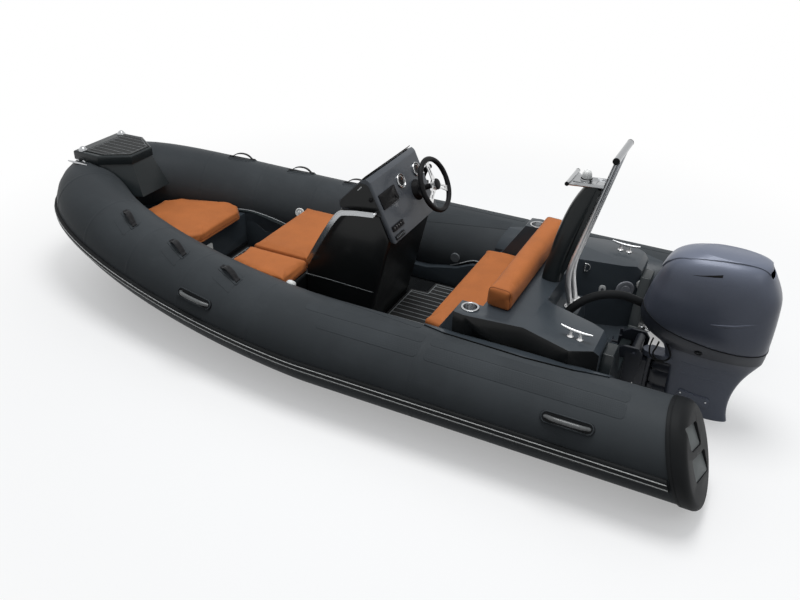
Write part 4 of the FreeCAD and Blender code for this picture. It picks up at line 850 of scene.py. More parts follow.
# %% [markdown]
# ## What is glued to the tubes
# Tapes over the joints, rows of stepping panels and a patch under each grab loop are cut
# from sheet. A bump map could fake them, but it leaves no edge against the light. So each
# is an outline with round corners, bent over the tube, with a bevelled edge a millimetre
# or two high.

# %% Glued sheets
LONGEST_STEP = 0.035


def glued_sheet(start, end, low, high, thick, corner, side, slant=0.0):
    """Points and faces of a rounded sheet between two distances and two angles.
    The slant turns it by so many degrees round the tube for each metre along."""
    arc = RADIUS * math.radians(1.0)
    half_length, half_height = (end - start) / 2, (high - low) * arc / 2
    middle, centre = (start + end) / 2, (low + high) / 2
    outline = round_corners(half_length, half_height, corner)
    dense = []
    for (ax, ay), (bx, by) in zip(outline, outline[1:] + outline[:1]):
        pieces_in = max(1, int(math.hypot(bx - ax, by - ay) / LONGEST_STEP))
        dense += [(ax + (bx - ax) * k / pieces_in, ay + (by - ay) * k / pieces_in) for k in range(pieces_in)]
    rings = []
    for shrink, lift in ((0.0, -0.0015), (0.0, thick * 0.7), (0.0012, thick), (0.004, thick)):
        less_x, less_y = 1 - shrink / half_length, 1 - shrink / half_height
        rings.append([(x * less_x, y * less_y, lift) for x, y in dense])
    for share in (0.8, 0.6, 0.4, 0.2):
        rings.append([(x * share, y * share, thick) for x, y in dense])
    points, faces = skin(rings)
    return [tube_point(middle + x, centre + y / arc + slant * x, lift, side) for x, y, lift in points], faces


def tape(along, wide, thick, low, high, side):
    """A strip round the tube over a joint, between two angles."""
    rings = []
    for offset, lift in ((-0.5, -0.0014), (-0.5, 0.0), (-0.44, thick), (0.44, thick), (0.5, 0.0),
                         (0.5, -0.0014)):
        rings.append([tube_point(along + wide * offset, turn, lift - joint_dip(along + wide * offset), side)
                      for turn in np.linspace(low, high, 73)])
    return skin(rings, closed=False, capped=False)


TAPE_WIDE, TAPE_THICK, TAPE_LOW, TAPE_HIGH = 0.026, 0.0005, -80, 215
PANEL_THICK, PANEL_CORNER = 0.0014, 0.022
LOW_ROW, HIGH_ROW = (51.5, 71.3), (72.7, 88.5)
LOOP_SLANT = 62.0
STRAP_PLACES = [along_at(x) - 0.028 for x in (2.24, 2.68, 3.14)]
tapes, panels = [], []
for side in SIDES:
    tapes += [tape(joint, TAPE_WIDE, TAPE_THICK, TAPE_LOW, TAPE_HIGH, side) for joint in JOINTS]
    for start, low_end, end in ((-0.155, 0.885, 0.885), (0.925, 1.53, 1.645)):
        panels.append(glued_sheet(start, low_end, *LOW_ROW, PANEL_THICK, PANEL_CORNER, side))
        panels.append(glued_sheet(start, end, *HIGH_ROW, PANEL_THICK, PANEL_CORNER, side))
    panels.append(glued_sheet(0.99, 1.7, 108.0, 127.5, 0.0016, PANEL_CORNER, side, LOOP_SLANT / 2))
    tapes += [glued_sheet(along - 0.085, along + 0.085, 58, 92, 0.0016, 0.012, side, LOOP_SLANT)
              for along in STRAP_PLACES]
piece("tube_joint_tapes", *joined(tapes), "tube_tape", slot="tube_fabric", sharp=35)
piece("stepping_panels", *joined(panels), "tube_patch", slot="tube_fabric", sharp=35)
print("glued sheets:", len(tapes) + len(panels))

# %% [markdown]
# ## Rub rail
# The rail that takes the knocks is an extrusion with two grooves and a white bead in
# each. Two rails would show a joint at the stem, so one profile is carried along the port
# tube, round the bow and back along the other.

# %% Rub rail and its white beads
RAIL_MIDDLE, BEAD_AWAY = -5.0, 3.2


def round_the_boat(profile, offset=0.008):
    """Carry a profile of (degrees, metres out) along both sides in one piece."""
    port = []
    for share in [0.0, *np.linspace(0.004, 1.0, 90)]:
        ring = []
        for turn, out in profile:
            first = rake_start(RAIL_MIDDLE + turn, out, offset)
            ring.append(tube_point(first + (LENGTH - first) * share, RAIL_MIDDLE + turn, out))
        port.append(ring)
    far = [[Vector((p.x, -p.y, p.z)) for p in ring] for ring in port[:-1]]
    return skin(port + far[::-1])


RAIL = [(-7.6, -0.004), (-7.5, 0.008), (-7.0, 0.0135), (-6.0, 0.0178), (-4.6, 0.0198), (-4.1, 0.0196),
        (-3.95, 0.0168), (-2.45, 0.0168), (-2.3, 0.0196), (-1.6, 0.02), (0.0, 0.0203), (1.6, 0.02),
        (2.3, 0.0196), (2.45, 0.0168), (3.95, 0.0168), (4.1, 0.0196), (4.6, 0.0198), (6.0, 0.0178),
        (7.0, 0.0135), (7.5, 0.008), (7.6, -0.004), (0.0, -0.004)]
BEAD = [(-0.62, 0.016), (-0.58, 0.0196), (-0.4, 0.0214), (0.0, 0.0221), (0.4, 0.0214), (0.58, 0.0196),
        (0.62, 0.016)]
piece("rub_rail_skin", *round_the_boat(RAIL), "black_rubber", sharp=40, replaced=("rub_rail",))
beads = [round_the_boat([(turn + middle, out) for turn, out in BEAD], 0.01)
         for middle in (-BEAD_AWAY, BEAD_AWAY)]
piece("rub_rail_beads", *joined(beads), "white_line", sharp=60, replaced=("rub_rail_lines",))
print("rail profile points:", len(RAIL), "beads:", len(beads))

# %% [markdown]
# ## Mouldings
# The seat bases, quarter decks, console and lids come out of moulds. They could be
# modelled anew, but their solids have the right shape and only lack soft edges. So each
# is a rounded copy, with a radius that suits its size.

# %% Rounded mouldings
MOULDINGS = (
    ("aft_moulding", "quarter_deck_moulding", 0.012, "deck_gelcoat"),
    ("transom", "transom_board", 0.006, "slate_gelcoat"),
    ("cockpit_liner", "cockpit_liner_moulding", 0.01, "deck_gelcoat"),
    ("front_seat_base", "front_seat_moulding", 0.012, "console_gelcoat"),
    ("bow_locker", "bow_locker_moulding", 0.012, "deck_gelcoat"),
    ("bow_platform", "bow_platform_moulding", 0.01, "slate_gelcoat"),
    ("console", "console_moulding", 0.014, "console_gelcoat"),
    ("console_pod", "console_pod_moulding", 0.01, "pod_gelcoat"),
    ("locker_vent", "locker_vent_cover", 0.003, "white_plastic"),
    ("console_visor", "console_visor_panel", 0.003, "black_glass"),
)
for row in MOULDINGS:
    rounded_copy(*row)

# %% [markdown]
# ## Cushions
# A cushion is a cover filled with foam: crowned on top, pulled in at its corners and flat
# underneath. It could be sculpted, but cloth gives the crown by itself. The cover starts
# as the solid, drawn in a little. Pressure fills it while its underside is held, and a
# cap on the travel keeps the corners.

# %% Fill a cushion
def closed_copy(node_name, inset):
    """A solid's mesh with its points joined, drawn in from all sides but the underside."""
    mesh = reshaped(NODES[node_name].data.copy(), merged(MERGE_REACH))
    spots = np.array([v.co for v in mesh.vertices])
    low, high = spots.min(axis=0), spots.max(axis=0)
    middle, size = (low + high) / 2, high - low
    scale = (size - 2 * np.array((inset, inset, inset * 0.4))) / size
    spots = middle + (spots - middle) * scale
    spots[:, 2] += low[2] - spots[:, 2].min()
    mesh.vertices.foreach_set("co", spots.ravel())
    return mesh


def positions(mesh):
    """A mesh's points as rows of x, y and z."""
    spots = np.empty(len(mesh.vertices) * 3)
    mesh.vertices.foreach_get("co", spots)
    return spots.reshape(-1, 3)


INSET, VOXEL, FILL, PRESSURE, LAST_FRAME, HELD = 0.007, 0.011, 0.7, 4.0, 20, 0.006


def stuffed(node_name, name, cap):
    """A cushion over its solid, filled by cloth pressure. No point travels beyond the cap."""
    made = linked(name, closed_copy(node_name, INSET))
    remesh = made.modifiers.new("Even", "REMESH")
    remesh.mode, remesh.voxel_size = "VOXEL", VOXEL
    relax = made.modifiers.new("Relax", "SMOOTH")
    relax.factor, relax.iterations = 0.5, 4
    applied(made)
    start = positions(made.data)
    lowest = start[:, 2].min()
    rest = made.vertex_groups.new(name="rest")
    rest.add([int(i) for i in np.where(start[:, 2] < lowest + HELD)[0]], 1.0, "REPLACE")
    cloth = made.modifiers.new("Cloth", "CLOTH")
    cover = cloth.settings
    cover.quality, cover.mass, cover.vertex_group_mass = 5, 0.35, "rest"
    cover.tension_stiffness = cover.compression_stiffness = 18
    cover.bending_stiffness = 0.6
    cover.use_pressure, cover.uniform_pressure_force = True, PRESSURE
    cover.effector_weights.gravity = 0
    cloth.point_cache.frame_start, cloth.point_cache.frame_end = 1, LAST_FRAME
    for frame_number in range(1, LAST_FRAME + 1):
        bpy.context.scene.frame_set(frame_number)
    applied(made)
    filled = positions(made.data)
    moved = filled - start
    far = np.maximum(np.linalg.norm(moved, axis=1), 1e-9)
    kept = cap * np.tanh(far / cap)
    spots = start + moved * (kept / far)[:, None]
    spots[:, 2] = np.maximum(spots[:, 2], lowest)
    made.data.vertices.foreach_set("co", spots.ravel())
    made.vertex_groups.clear()
    bpy.context.scene.frame_set(1)
    print(name, "filled, mm:", round(float(kept.max()) * 1000, 1))
    smooth = made.modifiers.new("Fine", "SUBSURF")
    smooth.levels = smooth.render_levels = 1
    made = dress(name, taken_from(made), "orange_vinyl", "hull", "orange_vinyl", True, 80, (node_name,))
    return made

# %% The five cushions
CUSHIONS = {}
for node_name, name, cap in (("front_cushion_port", "front_seat_cushion_port", 0.01),
                             ("front_cushion_starboard", "front_seat_cushion_starboard", 0.01),
                             ("bow_cushion", "bow_seat_cushion", 0.012),
                             ("aft_seat_cushion", "bench_cushion", 0.011),
                             ("aft_backrest", "bench_backrest_roll", 0.01)):
    CUSHIONS[name] = stuffed(node_name, name, cap)

# %% [markdown]
# ## Seams and stitches
# A cover is sewn from a top and a side, with a welt in the seam and stitches on both
# sides of it. A line drawn by hand would never meet the filled shape. Here a plane cuts
# the cover, and the cut is the seam: the cover is pressed in along it, a thin pipe is
# laid there, and its points say where the stitches go.

# %% Press a seam and follow it
def press_seam(mesh, point, normal, depth, wide):
    """Pull the cover in along a plane, as a seam does."""
    spots = positions(mesh)
    normals = np.array([v.normal for v in mesh.vertices])
    away = (spots - np.array(point)) @ np.array(Vector(normal).normalized())
    spots -= normals * (depth * np.exp(-(away / wide) ** 2))[:, None]
    mesh.vertices.foreach_set("co", spots.ravel())
    mesh.update()


def contour(mesh, point, normal, spacing=0.006):
    """The closed line where a plane cuts a mesh, evenly spaced, with the way out at each point."""
    work = bmesh.new()
    work.from_mesh(mesh)
    parts = [*work.verts, *work.edges, *work.faces]
    cut = bmesh.ops.bisect_plane(work, geom=parts, plane_co=point, plane_no=normal)["geom_cut"]
    links = {}
    for edge in cut:
        if isinstance(edge, bmesh.types.BMEdge):
            a, b = edge.verts
            links.setdefault(a, []).append(b)
            links.setdefault(b, []).append(a)
    best, unused = [], dict.fromkeys(links)
    while unused:
        here, _ = unused.popitem()
        line = [here]
        while onward := [v for v in links[here] if v in unused]:
            here = onward[0]
            del unused[here]
            line.append(here)
        if len(line) > len(best):
            best = line
    rows = [(v.co.copy(), v.normal.copy()) for v in best]
    work.free()
    length = [0.0]
    closed = rows + rows[:1]
    for (a, _), (b, _) in zip(closed, closed[1:]):
        length.append(length[-1] + (b - a).length)
    count = max(8, int(length[-1] / spacing))
    result = []
    for step in range(count):
        at = length[-1] * step / count
        index = min(int(np.searchsorted(length, at, side="right")) - 1, len(rows) - 1)
        share = (at - length[index]) / max(length[index + 1] - length[index], 1e-9)
        result.append((closed[index][0].lerp(closed[index + 1][0], share),
                       closed[index][1].lerp(closed[index + 1][1], share).normalized()))
    return result

# %% Welts and stitches
SEAM_DEPTH, SEAM_REACH, SEAM_HEIGHT, ROLL_SEAM_Y = 0.0022, 0.006, 0.022, 0.499
WELT_RADIUS, STITCH_AWAY = 0.0019, 0.0065
stitches, welts = [], []


def sewn(cushion, point, normal):
    """Press a seam, lay a welt in it and mark where the stitches go."""
    press_seam(cushion.data, point, normal, SEAM_DEPTH, SEAM_REACH)
    line = contour(cushion.data, point, normal)
    welts.append(pipe([p + n * 0.0006 for p, n in line], WELT_RADIUS, 6, looped=True))
    for index, (place, out) in enumerate(line):
        ahead = line[(index + 1) % len(line)][0]
        for away in (-STITCH_AWAY, STITCH_AWAY):
            stitches.append((place + Vector(normal) * away + out * 0.0008, ahead - place, out))


*flat_ones, roll = CUSHIONS.values()
for cushion in flat_ones:
    lowest = float(positions(cushion.data)[:, 2].min())
    sewn(cushion, (0, 0, lowest + SEAM_HEIGHT), (0, 0, 1))
for side in SIDES:
    sewn(roll, (0, side * ROLL_SEAM_Y, 0.7), (0, 1, 0))
piece("cushion_welts", *joined(welts), "orange_seam", slot="orange_vinyl", sharp=80)
repeated("cushion_stitches", stitch(0.0042, 0.0009), stitches, "orange_seam", slot="orange_vinyl")
print("welts:", len(welts))

# %% [markdown]
# ## Caulked pads
# The floor pads and the bow pad are foam planks with light caulk between them. The lines
# run fore and aft and stop at a border. A striped texture would run on through the
# border, so every line is a thin bar, kept only as far as it lies inside.

# %% Caulk lines on the pads
def inside(x, y, corners):
    """Whether a place lies inside an outline: it crosses an odd number of sides."""
    odd = False
    for (ax, ay), (bx, by) in zip(corners, corners[1:] + corners[:1]):
        if (ay > y) != (by > y) and x < (bx - ax) * (y - ay) / (by - ay) + ax:
            odd = not odd
    return odd


PLANK, CAULK_HIGH = 0.048, 0.0012


def caulked(corners, height, border, wide=0.004):
    """Caulk lines along X over a pad, and a line along its border."""
    centre = sum(x for x, _ in corners) / len(corners)
    rim = [(x - math.copysign(border, x - centre), y - math.copysign(border, y)) for x, y in corners]
    lines = [bar_between((*a, height), (*b, height), wide, CAULK_HIGH)
             for a, b in zip(rim, rim[1:] + rim[:1])]
    planks = int(max(y for _, y in corners) / PLANK)
    stops = np.arange(min(x for x, _ in rim), max(x for x, _ in rim), 0.004)
    for step in range(-planks, planks + 1):
        y = step * PLANK
        inner = [x for x in stops if inside(x, y, rim)]
        if len(inner) > 8:
            lines.append(bar_between((inner[0], y, height), (inner[-1], y, height), wide, CAULK_HIGH))
    return lines


def both_edges(points):
    """A pad's port edge and its mirror image, as one outline."""
    return points + [(x, -y) for x, y in reversed(points)]


AFT_PAD = both_edges([(1.095, 0.475), (1.418, 0.475), (1.42, 0.332), (1.538, 0.324)])
FORE_PAD = both_edges([(2.46, 0.43), (2.88, 0.3)])
BOW_PAD = both_edges([(3.837, 0.196), (3.677, 0.196), (3.513, 0.096)])
DECK_LEVEL, BOW_LEVEL = 0.1062, 0.8402
moulded("bow_caulk", (0.19, 0.2, 0.205), 0.6, 700, 0.00008, 0.08)
lines = caulked(AFT_PAD, DECK_LEVEL, 0.016) + caulked(FORE_PAD, DECK_LEVEL, 0.016)
piece("deck_caulk_lines", *joined(lines), "caulk", slot="white_line", smooth=False)
bow_lines = caulked(BOW_PAD, BOW_LEVEL, 0.014, 0.003)
piece("bow_pad_caulk_lines", *joined(bow_lines), "bow_caulk", slot="white_line", smooth=False)
print("caulk lines:", len(lines), "on deck and", len(bow_lines), "on the bow")

# %% [markdown]
# ## Coves and the liner's edge
# The quarter decks' outer faces lie in the shade of the deck's edge, and a dark copy of them,
# like the console, is painted shade there. Splitting the moulding would break its rounded
# edge, so the copy of those faces is lifted a hair off it. The liner's dark flange and its
# light edge are bonded to the tube, so they are drawn as distances and angles on it.

# %% Painted shade in the coves under the quarter decks
def lifted(source, pick, out, name, finish):
    """A copy of some faces of a piece, lifted a little off it."""
    def trimmed(work):
        rest = [f for f in work.faces if not pick(f.calc_center_median(), f.normal)]
        bmesh.ops.delete(work, geom=rest, context="FACES")
        for vertex in work.verts:
            vertex.co += vertex.normal * out

    mesh = reshaped(source.data.copy(), trimmed)
    mesh.materials.clear()
    mesh.materials.append(FINISHES[finish])
    made = linked(name, mesh)
    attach(made, "hull")
    print(name, len(mesh.polygons), "faces")


def shaded_outer_face(spot, normal):
    return abs(normal.y) > 0.5 and abs(spot.y) > 0.6 and 0.12 < spot.x < 0.86 and spot.z > 0.5


# Painted shade: a dark copy of the outer faces stands for the shadow in the cove under the deck's edge.
quarter_deck = bpy.data.objects["quarter_deck_moulding"]
lifted(quarter_deck, shaded_outer_face, 0.0012, "quarter_deck_coves", "console_gelcoat")

# %% Trim and flange round the liner
FLANGE = [(1.13, 178), (1.19, 179), (1.31, 193), (1.43, 207), (1.52, 214), (1.75, 219), (2.1, 216),
          (2.45, 203), (2.7, 189), (2.823, 184), (2.945, 182), (3.05, 185), (3.12, 191)]
FLANGE_DROP, FLANGE_OUT, FLANGE_IN, TRIM_OUT = 34, 0.0022, -0.001, 0.0028
FLANGE_LINE = curved([(along, turn, 0) for along, turn in FLANGE], 6)
down, back_up = np.linspace(0, 1, 7), np.linspace(1, 0, 7)
trims, flanges = [], []
for side in SIDES:
    trims.append(pipe([tube_point(p.x, p.y, TRIM_OUT, side) for p in FLANGE_LINE], 0.0036, 8))
    flanges.append(skin([[tube_point(p.x, p.y + FLANGE_DROP * share, out, side)
                          for shares, out in ((down, FLANGE_OUT), (back_up, FLANGE_IN)) for share in shares]
                         for p in FLANGE_LINE]))
piece("liner_trim", *joined(trims), "caulk", slot="white_line")
piece("liner_flanges", *joined(flanges), "console_gelcoat", sharp=50)
print("points along the trim:", len(FLANGE_LINE))

# %% [markdown]
# ## Fore liner and the console's seam
# Ahead of the seat a narrow shelf runs along the tube, and a wall drops from it to the
# curb on deck. A flat sheet would gape, because the tube turns in and rises there. So
# both start from the trim's line, and the wall's foot is read off the curb.

# %% Fore shelf and wall
SHELF_X, SHELF_WIDE = (2.4, 2.7, 2.84, 3.05), (0.034, 0.034, 0.019, 0.03)
CURB_X = (2.46, 2.55, 2.65, 2.75, 2.83, 2.9)
CURB_Y = (0.4505, 0.4255, 0.3985, 0.3715, 0.3495, 0.33)
CURB_TOP = (0.2025, 0.2125, 0.2235, 0.2345, 0.2955, 0.3)
SHELF_THICK, WALL_THICK = 0.006, 0.004
fore_flanges, fore_walls = [], []
for side in SIDES:
    shelves, walls = [], []
    for p in FLANGE_LINE:
        if 2.42 < p.x < 3.1:
            rim = tube_point(p.x, p.y, 0.0012, side)
            edge = rim + Vector((0, -side * float(np.interp(rim.x, SHELF_X, SHELF_WIDE)), -0.004))
            shelves.append([rim, edge, edge - UP * SHELF_THICK, rim - UP * SHELF_THICK])
            if 2.46 < rim.x < 2.895:
                curb_y, curb_top = (float(np.interp(rim.x, CURB_X, row)) for row in (CURB_Y, CURB_TOP))
                foot = Vector((rim.x, side * curb_y, curb_top))
                inner, outer = edge - UP * 0.002, Vector((0, side * WALL_THICK, 0))
                walls.append([inner, foot, foot + outer, inner + outer])
    fore_flanges.append(skin(shelves))
    fore_walls.append(skin(walls))
piece("fore_liner_flange", *joined(fore_flanges), "slate_gelcoat", slot=SLOT_OF["cockpit_liner"], sharp=40)
piece("fore_liner_wall", *joined(fore_walls), "deck_gelcoat", slot=SLOT_OF["cockpit_liner"], sharp=40)
print("fore shelf sections:", len(shelves), "wall sections:", len(walls))

# %% Seam round the console
SEAM_SIDE = [(1.983, 0.302, 0.412), (1.8, 0.302, 0.412), (1.51, 0.302, 0.404)]
SEAM_AFT = [(1.505, 0.3, 0.404), (1.5, 0.0, 0.404), (1.505, -0.3, 0.404)]
seams = [pipe([(x, y * side, z) for x, y, z in SEAM_SIDE], 0.0016, 6) for side in SIDES]
seams.append(pipe(SEAM_AFT, 0.0022, 6))
piece("console_seam", *joined(seams), "caulk", slot="white_line")
print("console seams:", len(seams))

# %% [markdown]
# ## Tube ends
# A moulded cap closes each tube, with two sunk windows and a paler panel in each. The
# windows slant, so rings can't follow them. The cap is a plain skin, a Boolean modifier
# cuts the windows, and a bevel rounds what the cut leaves.

# %% Shape of a cap and its windows
CAP_LENGTH, CAP_ROUND, CAP_RADIUS, CAP_SIDES = 0.088, 0.04, 0.257, 96


def behind(side):
    """Places a point across, up and out of the raked plane that ends a tube."""
    def place(across, up, out):
        return Vector((AFT_END + up * math.sin(TILT) - out * math.cos(TILT), (HALF_BEAM + across) * side,
                       AXIS_HEIGHT + up * math.cos(TILT) + out * math.sin(TILT)))
    return place


def cap_rings(side):
    """Rings of (radius, distance aft): a lip, a groove, a wall and a rounded end."""
    rows = [(0.2506, 0.0003), (0.256, 0.0008), (0.2568, 0.0028), (0.257, 0.016), (0.2566, 0.0175),
            (0.2548, 0.0185), (0.2548, 0.021), (0.2566, 0.022), (0.257, 0.0235), (0.257, 0.038)]
    for step in range(0, 91, 9):
        angle = math.radians(step)
        rows.append((CAP_RADIUS - CAP_ROUND * (1 - math.cos(angle)),
                     CAP_LENGTH - CAP_ROUND + CAP_ROUND * math.sin(angle)))
    rows += [(0.14, CAP_LENGTH + 0.003), (0.07, CAP_LENGTH + 0.005)]
    rings = []
    for radius, offset in rows:
        rings.append([Vector((AFT_END + radius * s * RAKE - offset / math.cos(TILT),
                              (HALF_BEAM + radius * c) * side, AXIS_HEIGHT + radius * s))
                      for c, s in circle(CAP_SIDES)])
    return rings


WINDOWS = (((0.024, 0.1), (0.092, 0.068)), ((0.012, -0.077), (0.128, 0.066)))
SLANT, WINDOW_DEPTH, WINDOW_CORNER = 0.42, 0.02, 0.02
LEAN, PANEL_GAP = 0.0065, 0.002


def slanted(place, window):
    """Half sizes of a slanted window and a place(u, v, w) from its middle."""
    (across, up), half = window
    return half, lambda u, v, w: place(across + u, up + v + SLANT * u, w)

# %% End caps
def closed_object(name, points, faces):
    """An object whose faces point outwards, which a Boolean needs."""
    return linked(name, reshaped(mesh_of(name, points, faces), faced_out))


def cut_out(made, cutter, width=0.002):
    """Cut one closed shape from another and round the new edges."""
    cut = made.modifiers.new("Cut", "BOOLEAN")
    cut.operation, cut.object, cut.solver = "DIFFERENCE", cutter, "EXACT"
    beveled(made, width, 2, 50)
    return taken_from(made, cutter)


moulded("cap_panel", (0.15, 0.165, 0.165), 0.5, 500, 0.0001, 0.12, SOFT)
panels_in = []
for side, name in zip(SIDES, SIDE_NAMES):
    cutters = []
    for window in WINDOWS:
        (half_wide, half_high), spot = slanted(behind(side), window)
        cutters.append(plate(half_wide, half_high, CAP_LENGTH - WINDOW_DEPTH, CAP_LENGTH + 0.04,
                             WINDOW_CORNER, spot))

        def leaning(u, v, w, spot=spot, high=half_high):
            return spot(u, v, w - LEAN * (1 + v / high))

        panels_in.append(plate(half_wide - PANEL_GAP, half_high - PANEL_GAP, CAP_LENGTH - 0.0065,
                               CAP_LENGTH - 0.001, WINDOW_CORNER - PANEL_GAP, leaning))
    mesh = cut_out(closed_object("cap", *skin(cap_rings(side))), closed_object("windows", *joined(cutters)))
    dress(f"tube_end_cap_{name}", mesh, "black_rubber", sharp=40,
          replaced=("tube_end_caps",) if side == 1 else ())
piece("end_cap_panels", *joined(panels_in), "cap_panel", slot="black_rubber", sharp=40)
print("cap windows:", len(panels_in))

# %% [markdown]
# ## Carry handles
# A carry handle is a moulded bar over an oval base, along the tube. It could be modelled
# flat and bent with a Curve modifier. Drawing it in the tube's own terms bends it at
# once: the bar is a smooth line that leaves the skin and comes back.

# %% Carry handles
HANDLES = ((2.33, 27), (0.09, 31))
GRIP_LINE = [(-0.112, 0.002), (-0.098, 0.012), (-0.078, 0.026), (-0.05, 0.032), (0.0, 0.034),
             (0.05, 0.032), (0.078, 0.026), (0.098, 0.012), (0.112, 0.002)]


def grip(middle, turn, side):
    """The bar of a handle, thinner at its ends."""
    points = curved([tube_point(middle + a, turn, out, side) for a, out in GRIP_LINE], 5)
    return pipe(points, lambda t: 0.0118 - 0.002 * abs(2 * t - 1) ** 3, 14)


def oval_rim(middle, turn, half_length, half_height, lift, side):
    """A raised line round the base of a handle."""
    line = round_corners(half_length, half_height, half_height * 0.98, 10)
    return pipe([tube_point(middle + u, turn + math.degrees(v / RADIUS), lift, side) for u, v in line],
                0.0042, 8, looped=True)


bases, rims, grips = [], [], []
for side in SIDES:
    for x, turn in HANDLES:
        middle = along_at(x)
        bases.append(glued_sheet(middle - 0.135, middle + 0.135, turn - 7.1, turn + 7.1, 0.007, 0.03, side))
        rims.append(oval_rim(middle, turn, 0.128, 0.0265, 0.0075, side))
        grips.append(grip(middle, turn, side))
# The grips' grey is partly their own colour and partly a painted highlight along the bar.
moulded("handle_grey", (0.1, 0.106, 0.108), 0.3, 700, 0.00008, 0.1)
piece("carry_handle_bases", *joined(bases), "black_rubber", sharp=45, replaced=("carry_handles",))
piece("carry_handle_rims", *joined(rims), "tube_patch", slot="black_rubber", sharp=60)
piece("carry_handle_grips", *joined(grips), "handle_grey", slot="black_rubber", sharp=60)
print("handles:", len(grips))

# %% [markdown]
# ## Grab loops
# Short straps of ribbed webbing stand off the tube in a loop, sewn to a patch at both
# ends. A flat strip with a Solidify modifier would have no ribs, so the strap's own
# section is swept along a lift that is flat at the tabs.

# %% Grab loops
LOOP_TURN, LOOP_HALF, LOOP_RISE, TAB_LIFT, WEB_THICK = 80, 0.07, 0.03, 0.0062, 0.0034
WEB_ACROSS = (-0.016, -0.014, -0.01, -0.0055, 0.0, 0.0055, 0.01, 0.014, 0.016)
WEB_RIBS = (0.0, 0.001, 0.0022, 0.001, 0.0004, 0.001, 0.0022, 0.001, 0.0)
SEAM_ROWS, SEAM_LIFT = (0.076, 0.088), 0.0112


def webbing_loop(middle, side):
    """A loop of webbing with two ribs, its tabs sewn flat to the tube."""
    rings = []
    for t in np.linspace(-1.3, 1.3, 47):
        lift = TAB_LIFT + LOOP_RISE * (1 - min(1.0, abs(t)) ** 2.3)
        turn = LOOP_TURN + LOOP_SLANT * t * LOOP_HALF
        upper = [(a, lift + WEB_THICK + rib) for a, rib in zip(WEB_ACROSS, WEB_RIBS)]
        lower = [(a, lift) for a in reversed(WEB_ACROSS)]
        rings.append([tube_point(middle + t * LOOP_HALF, turn + math.degrees(a / RADIUS), out, side)
                      for a, out in upper + lower])
    return skin(rings)


def sewing_spots(middle, side):
    """Two rows of seven stitches on each tab of a loop."""
    for along in (end * row for end in (-1, 1) for row in SEAM_ROWS):
        for step in range(-3, 4):
            turn = LOOP_TURN + math.degrees(step * 0.005 / RADIUS) + LOOP_SLANT * along
            spot, ahead, under = (tube_point(middle + along, turn + more, lift, side)
                                  for more, lift in ((0, SEAM_LIFT), (1, SEAM_LIFT), (0, 0.0)))
            yield spot, ahead - spot, spot - under


loops, patches, seam_spots = [], [], []
for side in SIDES:
    for middle in STRAP_PLACES:
        patches.append(glued_sheet(middle - 0.098, middle + 0.098, LOOP_TURN - 7.3, LOOP_TURN + 7.3,
                                   0.0046, 0.01, side, LOOP_SLANT))
        loops.append(webbing_loop(middle, side))
        seam_spots += sewing_spots(middle, side)
piece("grab_loop_patches", *joined(patches), "tube_patch", slot="black_webbing", sharp=35)
piece("grab_loops", *joined(loops), "black_webbing", sharp=50, replaced=("strap_handles",))
repeated("grab_loop_stitches", stitch(0.004, 0.001), seam_spots, "tube_patch", slot="black_webbing")

# %% [markdown]
# ## Dash and display
# The dash slopes, so parts set there by eye would each tilt a little differently. It is
# laid out flat instead, like a drawing: across, up and out of its face. The display is a
# bezel with a screen let in and five keys.

# %% Dash and display
DASH_SLOPE = math.atan2(1.532 - 1.362, 1.112 - 0.77)
DASH_UP = Vector((math.sin(DASH_SLOPE), 0, math.cos(DASH_SLOPE)))
DASH_OUT = Vector((-math.cos(DASH_SLOPE), 0, math.sin(DASH_SLOPE)))
DASH_FOOT = Vector((1.362, 0, 0.77))
ACROSS = Vector((0, 1, 0))


def on_dash(across, up):
    """Places a point across to port, up and out of the dash, from a middle on it."""
    def place(u, v, w):
        return DASH_FOOT + DASH_UP * (up + v) + DASH_OUT * w + Vector((0, across + u, 0))
    return place


display = on_dash(0.18, 0.25)


def screen(u, v, w):
    return display(u + 0.009, v, w)


piece("display_bezel", *plate(0.098, 0.046, 0.0002, 0.0066, 0.008, display), "black_plastic",
      slot="black_glass", replaced=("dash_display",))
piece("display_screen", *plate(0.084, 0.037, 0.006, 0.0071, 0.003, screen, 0.0004), "black_glass")
keys = [(display(-0.087, step * 0.014, 0.0066), ACROSS, DASH_OUT) for step in range(-2, 3)]
repeated("display_keys", button(0.0034, 0.0012), keys, "gauge", slot="black_glass")

# %% [markdown]
# ## Gauges
# A real dial is printed. A picture could be mapped on, but it would blur close up. So the
# marks are small bars round a circle, from low left to low right, and every fourth is
# longer.

# %% Gauges
GAUGES, GAUGE_UP, MARK_LEVEL, TICKS = (-0.006, -0.222), 0.285, 0.0059, 25
BEZEL = [(0.044, 0.0002), (0.044, 0.0078), (0.0425, 0.0098), (0.0395, 0.01), (0.0372, 0.0075),
         (0.0368, 0.0002)]
CHAPTER = [(0.0318, 0.0056), (0.0318, 0.0062), (0.0296, 0.0062), (0.0296, 0.0056)]
DIAL, SMALL_DIAL = [(0.0374, 0.0004), (0.0374, 0.0058)], [(0.0085, 0.0058), (0.0085, 0.0062)]
NEEDLE_HUB = [(0.005, 0.0058), (0.005, 0.008), (0.003, 0.009)]
TICK = bar_between((-0.002, 0, 0), (0.002, 0, 0), 0.0009, 0.0004)


def tick_spots(dial):
    """Spots round a dial, each with the way outwards."""
    for step in range(TICKS):
        angle = math.radians(225 - 270 * step / (TICKS - 1))
        c, s = math.cos(angle), math.sin(angle)
        reach = 0.03 if step % 4 else 0.0285
        spot = dial(-c * reach, s * reach, MARK_LEVEL)
        yield spot, dial(-c * 0.034, s * 0.034, MARK_LEVEL) - spot, DASH_OUT


